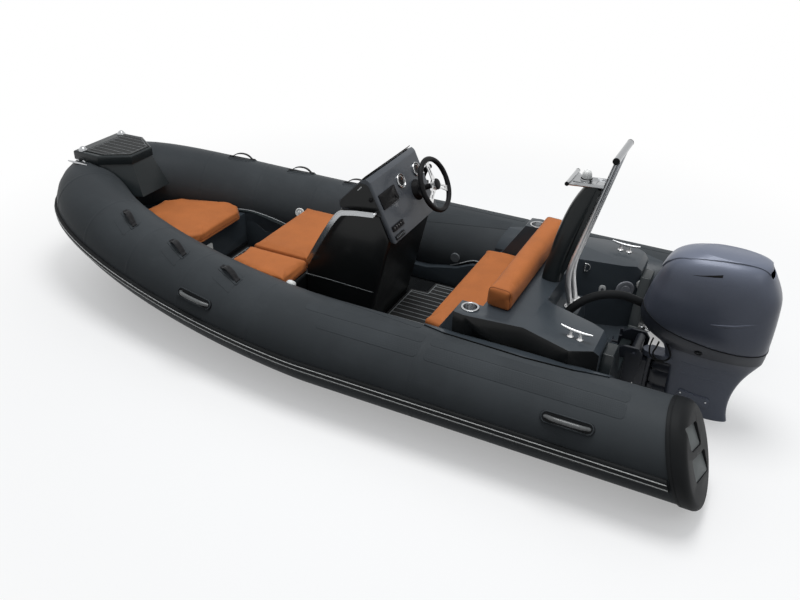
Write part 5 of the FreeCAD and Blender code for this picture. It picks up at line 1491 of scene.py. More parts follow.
bezels, chapters, dials, ticks, needles, middles = [], [], [], [], [], []
for across in GAUGES:
    dial = on_dash(across, GAUGE_UP)
    middle = dial(0, 0, 0)
    bezels.append(ring_shape(BEZEL, middle, DASH_OUT))
    chapters.append(ring_shape(CHAPTER, middle, DASH_OUT))
    dials.append(turned(DIAL, middle, DASH_OUT))
    ticks += tick_spots(dial)
    needle = dial(0.006, -0.004, 0.0068), dial(-0.022, 0.016, 0.0068)
    needles.append(bar_between(*needle, 0.0016, 0.0008, DASH_OUT))
    middles.append(turned(NEEDLE_HUB, middle, DASH_OUT, 20))
    middles.append(turned(SMALL_DIAL, dial(0.0, -0.014, 0), DASH_OUT, 24))
piece("gauge_bezels", *joined(bezels), "chrome", sharp=35, replaced=("dash_gauges",))
piece("gauge_faces", *joined(dials), "gauge", sharp=35)
piece("gauge_chapter_rings", *joined(chapters), "gauge_mark", slot="gauge", sharp=35)
repeated("gauge_ticks", TICK, ticks, "gauge_mark", slot="gauge", smooth=False)
piece("gauge_needles", *joined(needles), "orange_seam", slot="gauge", smooth=False)
piece("gauge_centres", *joined(middles), "black_plastic", slot="gauge", sharp=35)

# %% [markdown]
# ## Switches
# Five rockers sit on one plate and six keys on another. A rocker leans, and it could be
# turned by hand, five times. Its place on the dash gets the slope instead, and its mark
# follows.

# %% Switches, keys and side fittings
SWITCH_PITCH, KEY_PITCH, LEAN_OUT = 0.0262, 0.0165, 0.0016
KNOB = [(0.0135, 0.0), (0.0135, 0.006), (0.011, 0.009), (0.006, 0.01)]
switches, keypad = on_dash(0.205, 0.078), on_dash(0.222, 0.024)
rockers, marks = [], []
for step in range(-2, 3):
    def seat(u, v, w, at=step * SWITCH_PITCH):
        """A place on one rocker, which leans out at its top."""
        return switches(at + u, v, w + (LEAN_OUT * v / 0.01))

    rockers.append(plate(0.0105, 0.0115, 0.006, 0.0096, 0.002, seat))
    marks.append((seat(0, 0.006, 0.0098), ACROSS, DASH_OUT))
bases = [plate(0.07, 0.017, 0.0002, 0.0066, 0.006, switches),
         plate(0.056, 0.013, 0.0002, 0.0066, 0.005, keypad)]
buttons = [(keypad((step - 2.5) * KEY_PITCH, 0.0, 0.0066), ACROSS, DASH_OUT) for step in range(6)]
piece("switch_plates", *joined(bases), "black_plastic", sharp=40, replaced=("switch_panels",))
piece("switch_rockers", *joined(rockers), "gauge", slot="black_plastic", sharp=40)
repeated("switch_marks", bar_between((-0.003, 0, 0), (0.003, 0, 0), 0.0012, 0.0006), marks, "gauge_mark",
         slot="black_plastic", smooth=False)
repeated("keypad_buttons", button(0.0052, 0.0018, 14), buttons, "grey_plastic", slot="black_plastic")
piece("console_side_knob", *turned(KNOB, (1.5237, 0.3042, 1.0127), ACROSS, 24), "black_plastic", sharp=40)
side_bar = bar_between((1.61, 0.3052, 1.054), (1.585, 0.3052, 1.08), 0.006, 0.004, ACROSS)
piece("console_side_bar", *side_bar, "white_plastic", smooth=False)

# %% [markdown]
# ## Steering wheel
# The rim is wrapped in a soft grip, sewn on its inner side. A plain torus is even all
# round, but this grip swells at three places and dips under the fingers. So its rings are
# drawn one by one, and the thickness follows the angle.

# %% Wheel
WHEEL = DASH_FOOT + DASH_UP * 0.176 + Vector((0, -0.145, 0)) + DASH_OUT * 0.132
RIM_STEPS, RIM_RADIUS, GRIP, SWELL, DIMPLE = 120, 0.158, 0.016, 0.0012, 0.001
SWELLS_AT, DIMPLES = (90, 210, 330), 12
HUB_CAP = [(0.034, 0.0122), (0.034, 0.016), (0.031, 0.0205), (0.022, 0.0235), (0.01, 0.025)]
HUB_RING = [(0.035, 0.0122), (0.035, 0.015), (0.033, 0.0162), (0.032, 0.0122)]
rim, thread = [], []
for step in range(RIM_STEPS):
    angle = 2 * math.pi * step / RIM_STEPS
    c, s = math.cos(angle), math.sin(angle)
    way, ahead = Vector((0, c, 0)) + DASH_UP * s, Vector((0, -s, 0)) + DASH_UP * c
    thick = GRIP + SWELL * math.exp(-min((math.degrees(angle) - turn) ** 2 for turn in SWELLS_AT) / 90)
    thick -= DIMPLE * (0.5 + 0.5 * math.cos(DIMPLES * angle)) * 0.5
    rim.append([WHEEL + way * (RIM_RADIUS + thick * x) + DASH_OUT * (thick * y) for x, y in circle(20)])
    inner = WHEEL + way * (RIM_RADIUS - thick - 0.0002)
    thread.append((inner + DASH_OUT * 0.0015, ahead, -way))
piece("wheel_grip_rim", *skin(rim, capped=False, looped=True), "wheel_grip", "steering_wheel", sharp=60,
      replaced=("wheel_rim",))
repeated("wheel_grip_stitches", stitch(0.0046, 0.0011), thread, "gauge", "steering_wheel", "wheel_grip")
rounded_copy("wheel_spokes", "wheel_spider", 0.0014, "wheel_metal", 2, 30, "steering_wheel")
piece("wheel_hub_cap", *turned(HUB_CAP, WHEEL, DASH_OUT), "black_plastic", "steering_wheel", "wheel_grip",
      sharp=50)
piece("wheel_hub_ring", *ring_shape(HUB_RING, WHEEL, DASH_OUT), "chrome", "steering_wheel", sharp=40)
rounded_copy("helm_hub", "helm_bezel", 0.002, "black_plastic", 2, 30)
rounded_copy("throttle_control", "throttle_box", 0.002, "black_plastic", 2, 30)

# %% [markdown]
# ## Console sides and grab rails
# A flat polished rail follows each edge of the console, and a dark panel covers each side
# of the pod. A swept curve tends to twist at its bends. Each rail lies in one plane, so
# its section is set square to the line, ring by ring.

# %% Console sides and grab rails
POD_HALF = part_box("console_pod")[1][1]
SIDE_OUTLINE = [(1.452, 0.926), (1.722, 0.926), (1.729, 0.948), (1.722, 0.972), (1.603, 1.096),
                (1.59, 1.103), (1.552, 1.098), (1.541, 1.09)]
RAIL_LINE = [(1.489, 0.938), (1.545, 0.9315), (1.602, 0.925), (1.662, 0.914), (1.705, 0.902), (1.733, 0.876),
             (1.776, 0.815), (1.83, 0.725), (1.89, 0.618), (1.942, 0.52)]
RAIL_SECTION = [(-0.015, -0.0045), (0.015, -0.0045), (0.016, -0.003), (0.016, 0.0035), (0.0145, 0.005),
                (0.0105, 0.005), (0.0095, 0.0036), (-0.0095, 0.0036), (-0.0105, 0.005), (-0.0145, 0.005),
                (-0.016, 0.0035), (-0.016, -0.003)]
RAIL_AWAY, STAND_AWAY, STAND = 0.337, 0.306, [(0.011, 0.0), (0.011, 0.03), (0.009, 0.0335)]
pod_sides, rails, stands = [], [], []
for side in SIDES:
    pod_sides.append(skin([[Vector((x, side * (POD_HALF + out), z)) for x, z in SIDE_OUTLINE]
                           for out in (-0.001, 0.0009)]))
    line = curved([(x, side * RAIL_AWAY, z) for x, z in RAIL_LINE], 5)
    rings = []
    for before, spot, after in zip(line[:1] + line, line, line[1:] + line[-1:]):
        way = (after - before).normalized()
        square = Vector((-way.z, 0, way.x))
        rings.append([spot + square * u + Vector((0, side * w, 0)) for u, w in RAIL_SECTION])
    rails.append(skin(rings))
    stands += [turned(STAND, (x, side * STAND_AWAY, z), (0, side, 0), 24)
               for x, z in (RAIL_LINE[0], RAIL_LINE[4], RAIL_LINE[-1])]
piece("pod_side_panels", *joined(pod_sides), "console_gelcoat", slot="deck_gelcoat", sharp=40)
piece("console_grab_rails", *joined(rails), "chrome", sharp=35, replaced=("console_rails",))
piece("console_rail_stands", *joined(stands), "chrome", sharp=40)
print("rail stands:", len(stands))

# %% [markdown]
# ## Mast
# Two polished legs lean aft, with a perforated strip between them and a dark fairing
# ahead. Real holes would need 115 cuts, so they are thin dark discs on both faces. The
# strip's middle line, given by height, says where they go.

# %% Mast, strip and fairing
rounded_copy("mast_frame", "mast_tubes", 0.0008, "mast_steel", 2, 34)
rounded_copy("mast_fairing", "mast_fairing_shell", 0.002, "slate_gelcoat", 2, 34)
LIGHT_FOOT = Vector((0.385, 0.0, 1.2632))
GLOBE = [(0.0262, 0.01), (0.0268, 0.022), (0.025, 0.036), (0.0205, 0.046), (0.013, 0.052), (0.005, 0.054)]
GLOBE_BASE = [(0.03, 0.0), (0.03, 0.0075), (0.0285, 0.0105), (0.018, 0.011)]
piece("mast_light_globe", *turned(GLOBE, LIGHT_FOOT, UP, 40), "white_plastic", sharp=50,
      replaced=("mast_light",))
piece("mast_light_base", *turned(GLOBE_BASE, LIGHT_FOOT, UP, 40), "black_plastic", sharp=40)
FOOT_X, FOOT_Z, TOP_X, TOP_Z = 0.403, 0.706, 0.218, 1.45


def on_leg(z):
    """A point on the mast's middle line at a height."""
    return Vector((FOOT_X - (z - FOOT_Z) * (FOOT_X - TOP_X) / (TOP_Z - FOOT_Z), 0, z))


LEG_WAY = (on_leg(1.4) - on_leg(1.2)).normalized()
LEG_OUT = LEG_WAY.cross(ACROSS).normalized()
WEB_BACK, BACK_AHEAD = LEG_OUT * -0.012, Vector((0.03, 0, 0))


def on_strip(u, v, w):
    return on_leg(1.3) + Vector((0, u, 0)) + LEG_WAY * v + LEG_OUT * w


piece("mast_strip", *plate(0.0345, 0.128, -0.0015, 0.0015, 0.004, on_strip, 0.0006), "slate_gelcoat",
      slot="stainless", sharp=35)
web = bar_between(on_leg(0.712) + WEB_BACK, on_leg(1.166) + WEB_BACK, 0.069, 0.003, LEG_OUT)
piece("mast_web", *web, "wheel_metal", slot="stainless", sharp=35)
back = bar_between(on_leg(0.7) + BACK_AHEAD, on_leg(1.236) + BACK_AHEAD, 0.1, 0.022, LEG_OUT)
piece("mast_fairing_back", *back, "slate_gelcoat", slot=SLOT_OF["mast_fairing"], sharp=35)
holes = []
for row in range(-11, 12):
    shift = 0.003 if row % 2 else -0.003
    for column in range(-2, 3):
        for level_of, out in ((0.0016, LEG_OUT), (-0.0016, -LEG_OUT)):
            holes.append((on_strip(column * 0.0125 + shift, row * 0.0105, level_of), LEG_WAY, out))
repeated("mast_strip_holes", button(0.0036, 0.0003, 12), holes, "black_plastic", slot="stainless",
         smooth=False)

# %% [markdown]
# ## Plugs and the light's tray
# Rubber plugs close the bars, and the light stands on a tray of sheet metal that widens
# forward to a bar. A Solidify modifier could thicken the sheet. Here its four rows of
# nine points are doubled, and a wall joins the two edges.

# %% Plugs, tray and bolts
BAR_PLUG = [(0.0184, -0.001), (0.0184, 0.004), (0.0165, 0.0062), (0.006, 0.0068)]
SMALL_PLUG = [(0.0116, -0.001), (0.0116, 0.003), (0.0098, 0.0045), (0.004, 0.0049)]
LIGHT_RING = [(0.0335, 0.0), (0.0335, 0.005), (0.0318, 0.007), (0.0304, 0.0)]
plugs = []
for side in SIDES:
    plugs.append(turned(BAR_PLUG, (TOP_X, side * 0.156, TOP_Z), (0, side, 0), 28))
    plugs.append(turned(SMALL_PLUG, (0.473, side * 0.05, 1.243), (1, 0, -0.08), 24))
piece("mast_end_plugs", *joined(plugs), "black_rubber", sharp=40)
piece("mast_light_ring", *ring_shape(LIGHT_RING, LIGHT_FOOT, UP), "chrome", sharp=35)
TRAY = [(0.459, 0.104), (0.43, 0.07), (0.38, 0.05), (0.285, 0.044)]
TRAY_LEVEL, TRAY_THICK, COLUMNS = 1.256, 0.003, 9
rows = [[Vector((x, y * share, TRAY_LEVEL)) for share in np.linspace(-1, 1, COLUMNS)] for x, y in TRAY]
points, faces = skin(rows, closed=False, capped=False)
count = len(points)
sheet = points + [point + UP * TRAY_THICK for point in points]
edge = [*range(0, count, COLUMNS), *range(count - COLUMNS + 1, count),
        *range(count - COLUMNS - 1, 0, -COLUMNS), *range(COLUMNS - 2, 0, -1)]
walls = [(a, b, b + count, a + count) for a, b in zip(edge, edge[1:] + edge[:1])]
tops = [tuple(index + count for index in face) for face in faces]
piece("mast_light_tray", sheet, faces + tops + walls, "stainless", slot="chrome", sharp=30)
BAR_X, BAR_Z, BAR_HALF = 0.462, 1.2625, 0.108
bar = [Vector((BAR_X, y, BAR_Z)) for y in np.linspace(-BAR_HALF, BAR_HALF, 7)]
piece("mast_tray_bar", *pipe(bar, 0.0112, 20), "chrome", sharp=60)
tips = [turned(SMALL_PLUG, (BAR_X, side * BAR_HALF, BAR_Z), (0, side, 0), 24) for side in SIDES]
piece("mast_tray_plugs", *joined(tips), "black_rubber", sharp=40)
feet = [(Vector((0.357 + x, side * 0.05 + y, 0.5082)), (1, 0, 0), UP)
        for side in SIDES for x, y in ((0.024, 0.01), (-0.024, 0.01), (0.024, -0.01), (-0.024, -0.01))]
repeated("mast_foot_bolts", button(0.0042, 0.0028, 6), feet, "stainless", slot="chrome")

# %% [markdown]
# ## Outboard engine
# The cowl and pan are thin mouldings, and the leg and brackets are castings. They could
# be drawn anew, but their solids carry the shape already, so they are only rounded. Each
# rides on its own body, since the engine tilts, steers and turns its propeller.

# %% Engine shells
ENGINE = ("outboard", "engine_paint")
for *row, body in (("engine_cowl", "cowl_shell", 0.003, "engine_paint", "outboard"),
                   ("engine_pan", "pan_shell", 0.003, "pan_paint", "outboard"),
                   ("engine_leg", "leg_casting", 0.0025, "leg_paint", "outboard"),
                   ("gearcase", "gearcase_casting", 0.002, "engine_paint", "outboard"),
                   ("clamp_bracket", "clamp_casting", 0.002, "engine_casting", "hull"),
                   ("swivel_bracket", "swivel_casting", 0.0025, "engine_casting", "swivel")):
    rounded_copy(*row, 2, 30, body)
rounded_copy("propeller", "propeller_casting", 0.0008, "prop_steel", 2, 40, "propeller")

# %% [markdown]
# ## Details on the cowl
# A rubber seam, a vent slot, a crease, a button and a grille lie on surfaces that curve
# both ways. A Shrinkwrap modifier could press them on. A ray is simpler: cast at the
# solid from outside, it gives the surface and the way out of it.

# %% Rays at the engine
def tree_of(*names):
    """A search tree over the solids named, in the boat's frame."""
    meshes = [NODES[name].data for name in names]
    return BVHTree.FromPolygons(*joined(
        ([v.co.copy() for v in mesh.vertices], [p.vertices for p in mesh.polygons]) for mesh in meshes))


COWL, PAN, LEG = tree_of("engine_cowl"), tree_of("engine_pan"), tree_of("engine_leg")
SHELL = tree_of("engine_cowl", "engine_pan")
SEAM_X = (-0.8, -0.574, -0.442, -0.3, -0.183, -0.035, 0.06)
SEAM_Z = (0.518, 0.523, 0.533, 0.557, 0.587, 0.655, 0.69)
RAY_START, ENGINE_X, SEAM_UNDER = 0.6, -0.37, Vector((0, 0, 0.003))


def on_side(tree, x, z, side):
    """The surface at a place on the side, and the way out of it."""
    found = tree.ray_cast(Vector((x, side * RAY_START, z)), Vector((0, -side, 0)))
    return found[0], found[1]


def seam_height(x):
    return float(np.interp(x, SEAM_X, SEAM_Z))


seam_line = []
for c, s in circle(160):
    way = Vector((c, s, 0))
    height = seam_height(ENGINE_X + 0.34 * way.x)
    for _ in range(3):
        found = SHELL.ray_cast(Vector((ENGINE_X, 0, height + 0.003)) + way * RAY_START, -way)
        height = seam_height(found[0].x)
    seam_line.append(found[0] + found[1] * 0.0002 - SEAM_UNDER)
piece("cowl_seam", *pipe(seam_line, 0.0028, 8, looped=True), "black_rubber", *ENGINE,
      sharp=80)
print("points along the cowl's seam:", len(seam_line))

# %% Slots, creases, buttons and grille
WEDGE = ((1.0, -0.003), (1.0, 0.0006), (0.0, 0.0009), (-1.0, 0.0006), (-1.0, -0.003))
SLOT_LINE = ((-0.262, 0.93), (-0.295, 0.9355), (-0.33, 0.9425), (-0.365, 0.949), (-0.402, 0.957))
CREASE_LINE = ((-0.4, 0.688), (-0.434, 0.693), (-0.476, 0.7), (-0.518, 0.708), (-0.56, 0.72),
               (-0.6, 0.73), (-0.64, 0.738))
BUTTON = [(0.0215, -0.004), (0.0215, 0.003), (0.019, 0.0052), (0.016, 0.004), (0.015, 0.0018),
          (0.006, 0.0018)]
LATCH = [(0.0062, 0.0), (0.0062, 0.0036), (0.004, 0.0044)]


def laid_wedge(line, first, last):
    """A strip on the surface along (place, way out) pairs, whose half height goes from first to last."""
    rings = []
    for index, (spot, out) in enumerate(line):
        high = first + (last - first) * (index / (len(line) - 1)) ** 1.3
        up = (UP - out * out.z).normalized()
        rings.append([spot + up * (high * v) + out * w for v, w in WEDGE])
    return skin(rings)


def crease_radius(t):
    return 0.007 + 0.0034 * math.sin(math.pi * min(1.0, t * 1.1))


slots, creases, domes, latches = [], [], [], []
for side in SIDES:
    slots.append(laid_wedge([on_side(COWL, x, z, side) for x, z in SLOT_LINE], 0.0006, 0.0078))
    line = [on_side(COWL, x, z, side) for x, z in CREASE_LINE]
    creases.append(pipe(curved([p - n * 0.0062 for p, n in line]), crease_radius, 12))
    spot, out = on_side(PAN, -0.377, 0.47, side)
    domes.append(turned(BUTTON, spot, out, 36))
    latches.append(turned(LATCH, spot, out, 20))
piece("cowl_vent_slots", *joined(slots), "black_plastic", *ENGINE, sharp=80)
piece("cowl_side_creases", *joined(creases), "engine_paint", "outboard", sharp=80)
piece("engine_buttons", *joined(domes), "black_rubber", *ENGINE, sharp=40)
piece("engine_button_centres", *joined(latches), "grey_plastic", *ENGINE, sharp=40)
slats = [bar_between((-0.604, -0.06, z), (-0.604, 0.06, z), 0.003, 0.003) for z in (0.96, 0.97, 0.98)]
slats += [bar_between((-0.6, y, 0.955), (-0.6, y, 0.985), 0.003, 0.003, (1, 0, 0))
          for y in (-0.064, 0.064)]
piece("intake_grille", *joined(slats), "black_plastic", *ENGINE, smooth=False)
print("grille bars:", len(slats))

# %% [markdown]
# ## The leg
# Bands run round the leg, and a cover with three bolts closes each lower mount. Rays set
# these too. Ahead stands the leg's own front casting, round where it turns about the
# swivel tube. A Boolean could cut its waists, but one outline stacked at many heights
# gives them as well.

# %% Bands, covers and bolts
COVER_THICK, COVER_BOLTS = 0.0105, ((0.07, 0.018), (0.012, -0.022), (-0.07, 0.01))


def under_cover(u, v, side):
    """The leg's surface under a cover, and the way out of it."""
    return on_side(LEG, -0.405 + u, 0.118 + v + 0.1 * u, side)


bands = []
for z in (0.345, 0.268):
    for side in SIDES:
        line = [on_side(LEG, x, z - 0.02 * (x + 0.3), side) for x in np.linspace(-0.56, -0.3, 14)]
        bands.append(pipe([p - n * 0.0022 for p, n in line], 0.0042, 8))
piece("leg_bands", *joined(bands), "leg_paint", *ENGINE, sharp=80)
covers, cover_bolts = [], []
for side in SIDES:
    def on_cover(u, v, w, side=side):
        spot, out = under_cover(u, v, side)
        return spot + out * w

    covers.append(plate(0.088, 0.034, -0.004, COVER_THICK, 0.016, on_cover, 0.003))
    for spot, out in (under_cover(u, v, side) for u, v in COVER_BOLTS):
        cover_bolts.append((spot + out * COVER_THICK, UP, out))
piece("lower_mount_covers", *joined(covers), "leg_paint", *ENGINE, sharp=40)
repeated("lower_mount_bolts", button(0.0062, 0.004, 6), cover_bolts, "stainless", "outboard",
         "engine_casting")

# %% Front casting and cables
SWIVEL_X, TUBE_GAP, BACK_X = -0.118, 0.0368, -0.245
FRONT = [(BACK_X, 0.05), (-0.182, 0.048), (-0.148, 0.041)]
FRONT += [(SWIVEL_X + TUBE_GAP * math.cos(math.radians(a)), TUBE_GAP * math.sin(math.radians(a)))
          for a in (129, 140, 151, 162, 174)]
WAISTS = ((-0.06, 0.8), (-0.05, 0.95), (0.03, 1.0), (0.036, 0.9), (0.044, 0.9), (0.05, 1.0),
          (0.13, 1.0), (0.136, 0.9), (0.144, 0.9), (0.15, 1.0), (0.225, 1.0), (0.232, 0.9),
          (0.24, 0.9), (0.246, 1.0), (0.28, 0.95), (0.29, 0.8))
rings = []
for z, share in WAISTS:
    port = [Vector((BACK_X + (x - BACK_X) * share, y * share, z)) for x, y in FRONT]
    rings.append(port + [Vector((p.x, -p.y, p.z)) for p in reversed(port)])
piece("leg_front_casting", *skin(rings), "engine_casting", "outboard", "engine_casting", sharp=40)
LOOP = [(-0.165, 0.088, 0.452), (-0.158, 0.104, 0.42), (-0.148, 0.112, 0.385), (-0.165, 0.116, 0.358),
        (-0.2, 0.116, 0.35), (-0.232, 0.114, 0.368), (-0.24, 0.112, 0.4), (-0.222, 0.106, 0.436),
        (-0.205, 0.09, 0.456)]
FEED = [(-0.13, 0.07, 0.455), (-0.122, 0.082, 0.405), (-0.13, 0.078, 0.35), (-0.16, 0.066, 0.315),
        (-0.2, 0.05, 0.3), (-0.25, 0.03, 0.3)]
cables = [pipe(curved(line, 6), radius, 10) for line, radius in ((LOOP, 0.0052), (FEED, 0.0045))]
piece("engine_cables", *joined(cables), "black_rubber", *ENGINE, sharp=80)
print("front casting rings:", len(rings))

# %% [markdown]
# ## Rigging hose
# Cables and fuel run in one stiff hose from the well's floor, over the transom, into the
# engine. A simulated rope would hang anew each time. A spline through the solid's own
# corners stays put and gives the length. The hose rides on no body and stays where it is laid.

# %% Rigging hose
HOSE_ROUTE = ((403, 178, 200.9), (403, 176, 330), (395, 168, 405), (372, 155, 477), (335, 138, 543),
              (283, 116, 597), (220, 88, 635), (147, 58, 652), (72, 26, 648), (5, 5, 623), (-45, -10, 604))
HOSE_RADIUS, SHORTEST_STEP = 0.024, 0.0035
GROMMET = [(0.0245, -0.002), (0.033, -0.002), (0.0345, 0.004), (0.03, 0.01), (0.025, 0.012)]
route = bpy.data.curves.new("Rigging hose line", "CURVE")
route.dimensions, route.resolution_u = "3D", 24
spline = route.splines.new("NURBS")
spline.points.add(len(HOSE_ROUTE) - 1)
for control, (x, y, z) in zip(spline.points, HOSE_ROUTE):
    control.co = (x / 1000, y / 1000, z / 1000, 1.0)
spline.order_u, spline.use_endpoint_u = 3, True
holder = linked("Rigging hose line", route)
bpy.context.view_layer.update()
line_mesh = bpy.data.meshes.new_from_object(holder.evaluated_get(bpy.context.evaluated_depsgraph_get()))
hose_path = [v.co.copy() for v in line_mesh.vertices]
bpy.data.objects.remove(holder)
hose_length = sum((b - a).length for a, b in zip(hose_path, hose_path[1:]))
print("hose, metres:", round(hose_length, 3), "points", len(hose_path))
even = [hose_path[0]]
for point in hose_path[1:]:
    if (point - even[-1]).length > SHORTEST_STEP:
        even.append(point)
hose = piece("rigging_hose_tube", *pipe(even, HOSE_RADIUS, 28), "black_rubber", None, sharp=60,
             replaced=("rigging_hose",))
tuple(even[0])
[tuple(p) for p in even]
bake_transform(hose)
piece("hose_grommet", *ring_shape(GROMMET, (0.403, 0.178, 0.2015), UP, 36), "black_rubber", sharp=45)

# %% [markdown]
# ## Cups and cleats
# Lamps, cup rings, towing eyes and valve caps have their full shape in the solids. The
# stern cleats are drawn anew: a rounded copy would look heavy, but a cast horn is thin at
# its tips and turns up a little, which a pipe with a changing radius does.

# %% Lamps, cups and stern cleats
for row in (("bow_lamps", "bow_lamp_domes", 0.001, "chrome"),
            ("cup_holders", "cup_holder_rings", 0.0012, "chrome"),
            ("tow_eyes", "towing_eyes", 0.0012, "stainless"),
            ("tube_valves", "tube_valve_caps", 0.0015, "grey_plastic")):
    rounded_copy(*row, 2, 34)
moulded("vent_grey", (0.3, 0.31, 0.34), 0.4, 900, 0.00006, 0.08)
CUP, CUP_SIDES = [(0.0388, 0.6015), (0.0388, 0.602), (0.0384, 0.661)], 40
CUP_POINTS = len(CUP) * CUP_SIDES
wells = []
for side in SIDES:
    points, faces = turned(CUP, (0.775, side * 0.58, 0), UP, CUP_SIDES)
    open_faces = [face for face in faces if max(face) < CUP_POINTS]
    wells.append((points[:CUP_POINTS], open_faces + [tuple(range(CUP_SIDES))]))
piece("cup_wells", *joined(wells), "cup_well", slot="chrome", sharp=60)

CLEAT_BAR = (Vector((0.114, 0.561, 0.6665)), Vector((0.286, 0.549, 0.6785)))
CLEAT_FEET = (Vector((0.177, 0.557, 0.6272)), Vector((0.229, 0.553, 0.6308)))
CLEAT_LEG = [(0.017, 0.0), (0.017, 0.0032), (0.012, 0.0068), (0.0095, 0.013), (0.0088, 0.041)]
horns, legs = [], []
for side in SIDES:
    flip = Matrix.Diagonal((1, side, 1))
    line = [flip @ CLEAT_BAR[0].lerp(CLEAT_BAR[1], t) + Vector((0, 0, 0.01 * abs(2 * t - 1) ** 2.2 - 0.003))
            for t in np.linspace(0.0, 1.0, 15)]
    horns.append(pipe(line, lambda t: 0.0088 - 0.0042 * abs(2 * t - 1) ** 2.5, 14))
    legs += [turned(CLEAT_LEG, flip @ foot, UP, 24) for foot in CLEAT_FEET]
piece("stern_cleat_horns", *joined(horns), "chrome", sharp=60, replaced=("stern_cleats",))
piece("stern_cleat_legs", *joined(legs), "wheel_metal", slot="chrome", sharp=40)

# %% [markdown]
# ## Fittings on the well's wall
# A disc, an oval plate, a lashing ring and a round plate are screwed to the steep walls
# of the splash well, and each wall faces its own way. They could be turned by hand.
# Working a place out from the way a wall faces lets them be drawn flat against it.

# %% Fittings on the well's wall
AFT_WALL, FORE_WALL = (-0.46, 0.89, 0), (-0.27, 0.96, 0)
DISC = [(0.056, 0.0003), (0.056, 0.006), (0.053, 0.0085), (0.04, 0.0085), (0.0385, 0.006),
        (0.0265, 0.006), (0.025, 0.009), (0.013, 0.009)]
OVAL_CENTRE = [(0.01, 0.004), (0.01, 0.0072), (0.007, 0.0085)]
ROUND_PLATE = [(0.036, 0.0003), (0.036, 0.006), (0.032, 0.0085), (0.012, 0.0085)]
D_SHAPE = [(-0.012, 0.026), (-0.012, -0.026), (0.002, -0.025), (0.013, -0.016), (0.018, 0.0), (0.013, 0.016),
           (0.002, 0.025)]


def wall_place(middle, out):
    """Places a point across, up and out of a steep wall."""
    out = Vector(out).normalized()
    across = UP.cross(out).normalized()
    up = out.cross(across)

    def place(u, v, w):
        return Vector(middle) + across * u + up * v + out * w
    return place


piece("well_disc", *turned(DISC, (0.134, -0.3745, 0.466), AFT_WALL, 44), "vent_grey",
      slot="grey_plastic", sharp=30)
oval = wall_place((0.2605, -0.3335, 0.4533), FORE_WALL)
piece("well_oval_plate", *plate(0.021, 0.027, 0.0003, 0.005, 0.02, oval), "white_plastic", sharp=40)
piece("well_oval_centre", *turned(OVAL_CENTRE, oval(0, 0, 0), FORE_WALL, 24), "grey_plastic", sharp=35)
ring_at = wall_place((0.3671, -0.3045, 0.5924), FORE_WALL)
strap_at = wall_place(ring_at(-0.012, 0, 0), FORE_WALL)
ring_line = [ring_at(u, v, 0.0075) for u, v in D_SHAPE]
piece("well_d_ring", *pipe(ring_line, 0.0036, 10, looped=True), "chrome", sharp=80)
piece("well_d_ring_strap", *plate(0.006, 0.02, 0.0003, 0.01, 0.002, strap_at), "stainless",
      slot="chrome", sharp=40)
piece("well_round_plate", *turned(ROUND_PLATE, (0.045, -0.4205, 0.5), AFT_WALL, 36), "white_plastic",
      sharp=35)
print("outline points of the lashing ring:", len(ring_line))

# %% [markdown]
# ## Valves and the bow cleat
# Domes and valves are welded to the tubes' inner sides, and a mooring cleat stands on the
# bow. A cap set by eye would tilt. Two points of the tube's own function, on the skin and
# just outside it, give the way straight out.

# %% Valves and the bow cleat
DOME = [(0.03, -0.002), (0.03, 0.004), (0.027, 0.012), (0.019, 0.019), (0.009, 0.022)]
VALVE = [(0.034, -0.002), (0.034, 0.004), (0.031, 0.007), (0.024, 0.007), (0.023, 0.004), (0.014, 0.004),
         (0.013, 0.009), (0.008, 0.01)]
for name, profile, x, turn, side in (("tube_dome_port", DOME, 1.91, 127, 1),
                                     ("tube_dome_starboard", DOME, 1.91, 127, -1),
                                     ("white_valve_starboard", VALVE, 2.54, 165, -1),
                                     ("white_valve_port", VALVE, 2.54, 165, 1)):
    spot = tube_point(along_at(x), turn, 0.0, side)
    out = (tube_point(along_at(x), turn, 0.01, side) - spot).normalized()
    piece(name, *turned(profile, spot, out, 36), "white_plastic", sharp=40)
BOW_X, BOW_Z, CLEAT_END, CLEAT_OUT = 3.85, 0.768, 0.088, 0.262
BOW_LEG = [(0.014, 0.0), (0.014, 0.003), (0.0075, 0.007), (0.0065, 0.032)]
horn = [Vector((BOW_X + x, CLEAT_OUT, BOW_Z)) for x in (-CLEAT_END, -0.045, 0.0, 0.045, CLEAT_END)]
bits = [pipe(horn, lambda t: 0.0085 - 0.0045 * abs(2 * t - 1) ** 2, 14)]
bits += [turned(BOW_LEG, (BOW_X + x, 0.23, BOW_Z), ACROSS, 20) for x in (-0.028, 0.028)]
piece("bow_mooring_cleat", *joined(bits), "chrome", sharp=45)
print("bow cleat parts:", len(bits))

# %% [markdown]
# ## Light
# The boat stands in soft daylight. One sun lamp would give hard shadows, and a picture of
# a sky would need a file. A wide lamp above and a dim one aft give soft shadows, and a
# dome that is dark at the horizon gives the chrome something to reflect.

# %% Lamps and world
def area_lamp(name, place, aim, size, power):
    """A round lamp at a place that shines towards another."""
    lamp = bpy.data.lights.new(name, "AREA")
    lamp.shape, lamp.size, lamp.energy = "DISK", size, power
    holder = linked(name, lamp)
    holder.location = place
    holder.rotation_euler = (Vector(aim) - Vector(place)).to_track_quat("-Z", "Y").to_euler()
    print(name, "watts:", power)


def seen_directly(tree):
    """1 for rays from the camera, a mirror or glass, and 0 for light that bounces."""
    path = tree.nodes.new("ShaderNodeLightPath")
    camera_ray = Wire(tree, path.outputs["Is Camera Ray"])
    shiny = camera_ray.math("MAXIMUM", Wire(tree, path.outputs["Is Glossy Ray"]))
    return shiny.math("MAXIMUM", Wire(tree, path.outputs["Is Transmission Ray"]))


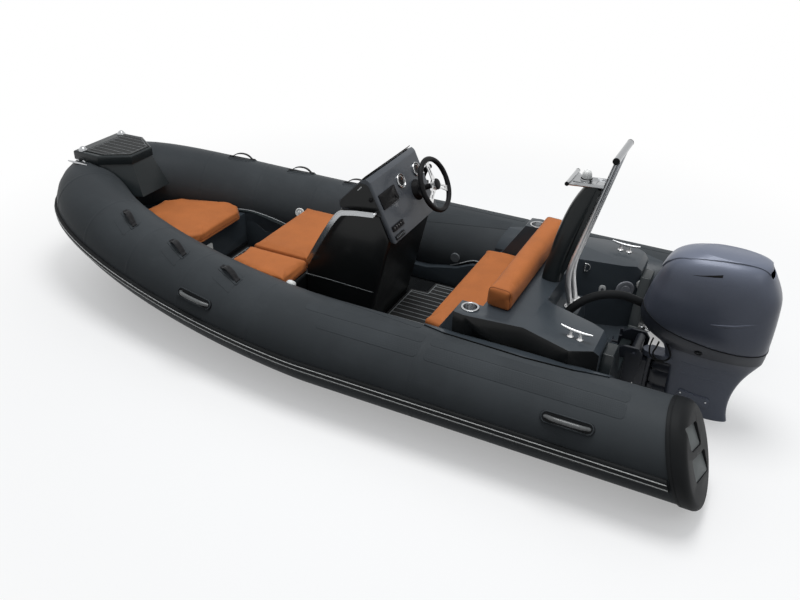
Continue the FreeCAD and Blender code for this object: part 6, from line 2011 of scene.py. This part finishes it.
area_lamp("Key lamp", (1.0, -0.2, 8.0), (1.4, 0.0, 0.4), 4.0, 345)
area_lamp("Aft lamp", (-5.5, 2.5, 6.0), (0.8, 0.0, 0.5), 3.0, 36)
HORIZON, ZENITH, WHITE = (0.035, 0.038, 0.042), (0.66, 0.68, 0.7), (1.0, 1.0, 1.0)
world = bpy.data.worlds.new("Studio")
bpy.context.scene.world = world
world.use_nodes = True
sky = world.node_tree
heading, parts = sky.nodes.new("ShaderNodeTexCoord"), sky.nodes.new("ShaderNodeSeparateXYZ")
sky.links.new(heading.outputs["Generated"], parts.inputs[0])
dome = two_colours(sky, Wire(sky, parts.outputs["Z"]).between(0.05, 0.95), HORIZON, ZENITH)
plug(sky, sky.nodes["Background"].inputs["Color"], two_colours(sky, seen_directly(sky), dome, WHITE))

# %% [markdown]
# ## Floor
# The floor lies at the waterline, so it cuts the boat where water would. Rendered water
# would hide the shadow, and a plain white sheet would throw too much light up at the
# hull. This one is white to the camera and in mirrors, and dark for light that bounces,
# as open water is.

# %% Floor
FLOOR_GLOW, FLOOR_HALF, SHADOW_MIDDLE = 0.35, 120.0, (1.3, 0.0, 0.0)
finish = Finish("floor", {"Roughness": 0.9, "Specular IOR Level": 0.0})
seen = seen_directly(finish.tree)
finish.feed("Base Color", finish.mixed(seen, (0.08, 0.08, 0.08), (0.96, 0.96, 0.96)))
offset = finish.node("ShaderNodeVectorMath", {"operation": "SUBTRACT"}, {0: finish.place, 1: SHADOW_MIDDLE})
away = finish.node("ShaderNodeVectorMath", {"operation": "LENGTH"}, {0: offset}, "Value")
glow = finish.node("ShaderNodeEmission", None, {"Strength": 1.0})
shown = away.between(1.8, 4.5) * (1 - FLOOR_GLOW) + FLOOR_GLOW
surface = finish.node("ShaderNodeMixShader", None, {
    "Fac": shown * seen, 1: Wire(finish.tree, finish.shader.outputs[0]), 2: glow})
plug(finish.tree, finish.tree.nodes["Material Output"].inputs["Surface"], surface)
corners = [(x * FLOOR_HALF, y * FLOOR_HALF, 0.0) for x, y in ((-1, -1), (1, -1), (1, 1), (-1, 1))]
floor = linked("floor", mesh_of("floor", corners, [(0, 1, 2, 3)]))
floor.data.materials.append(finish.material)
bpy.context.scene.view_settings.view_transform = "Standard"
print("floor, metres across:", 2 * FLOOR_HALF)
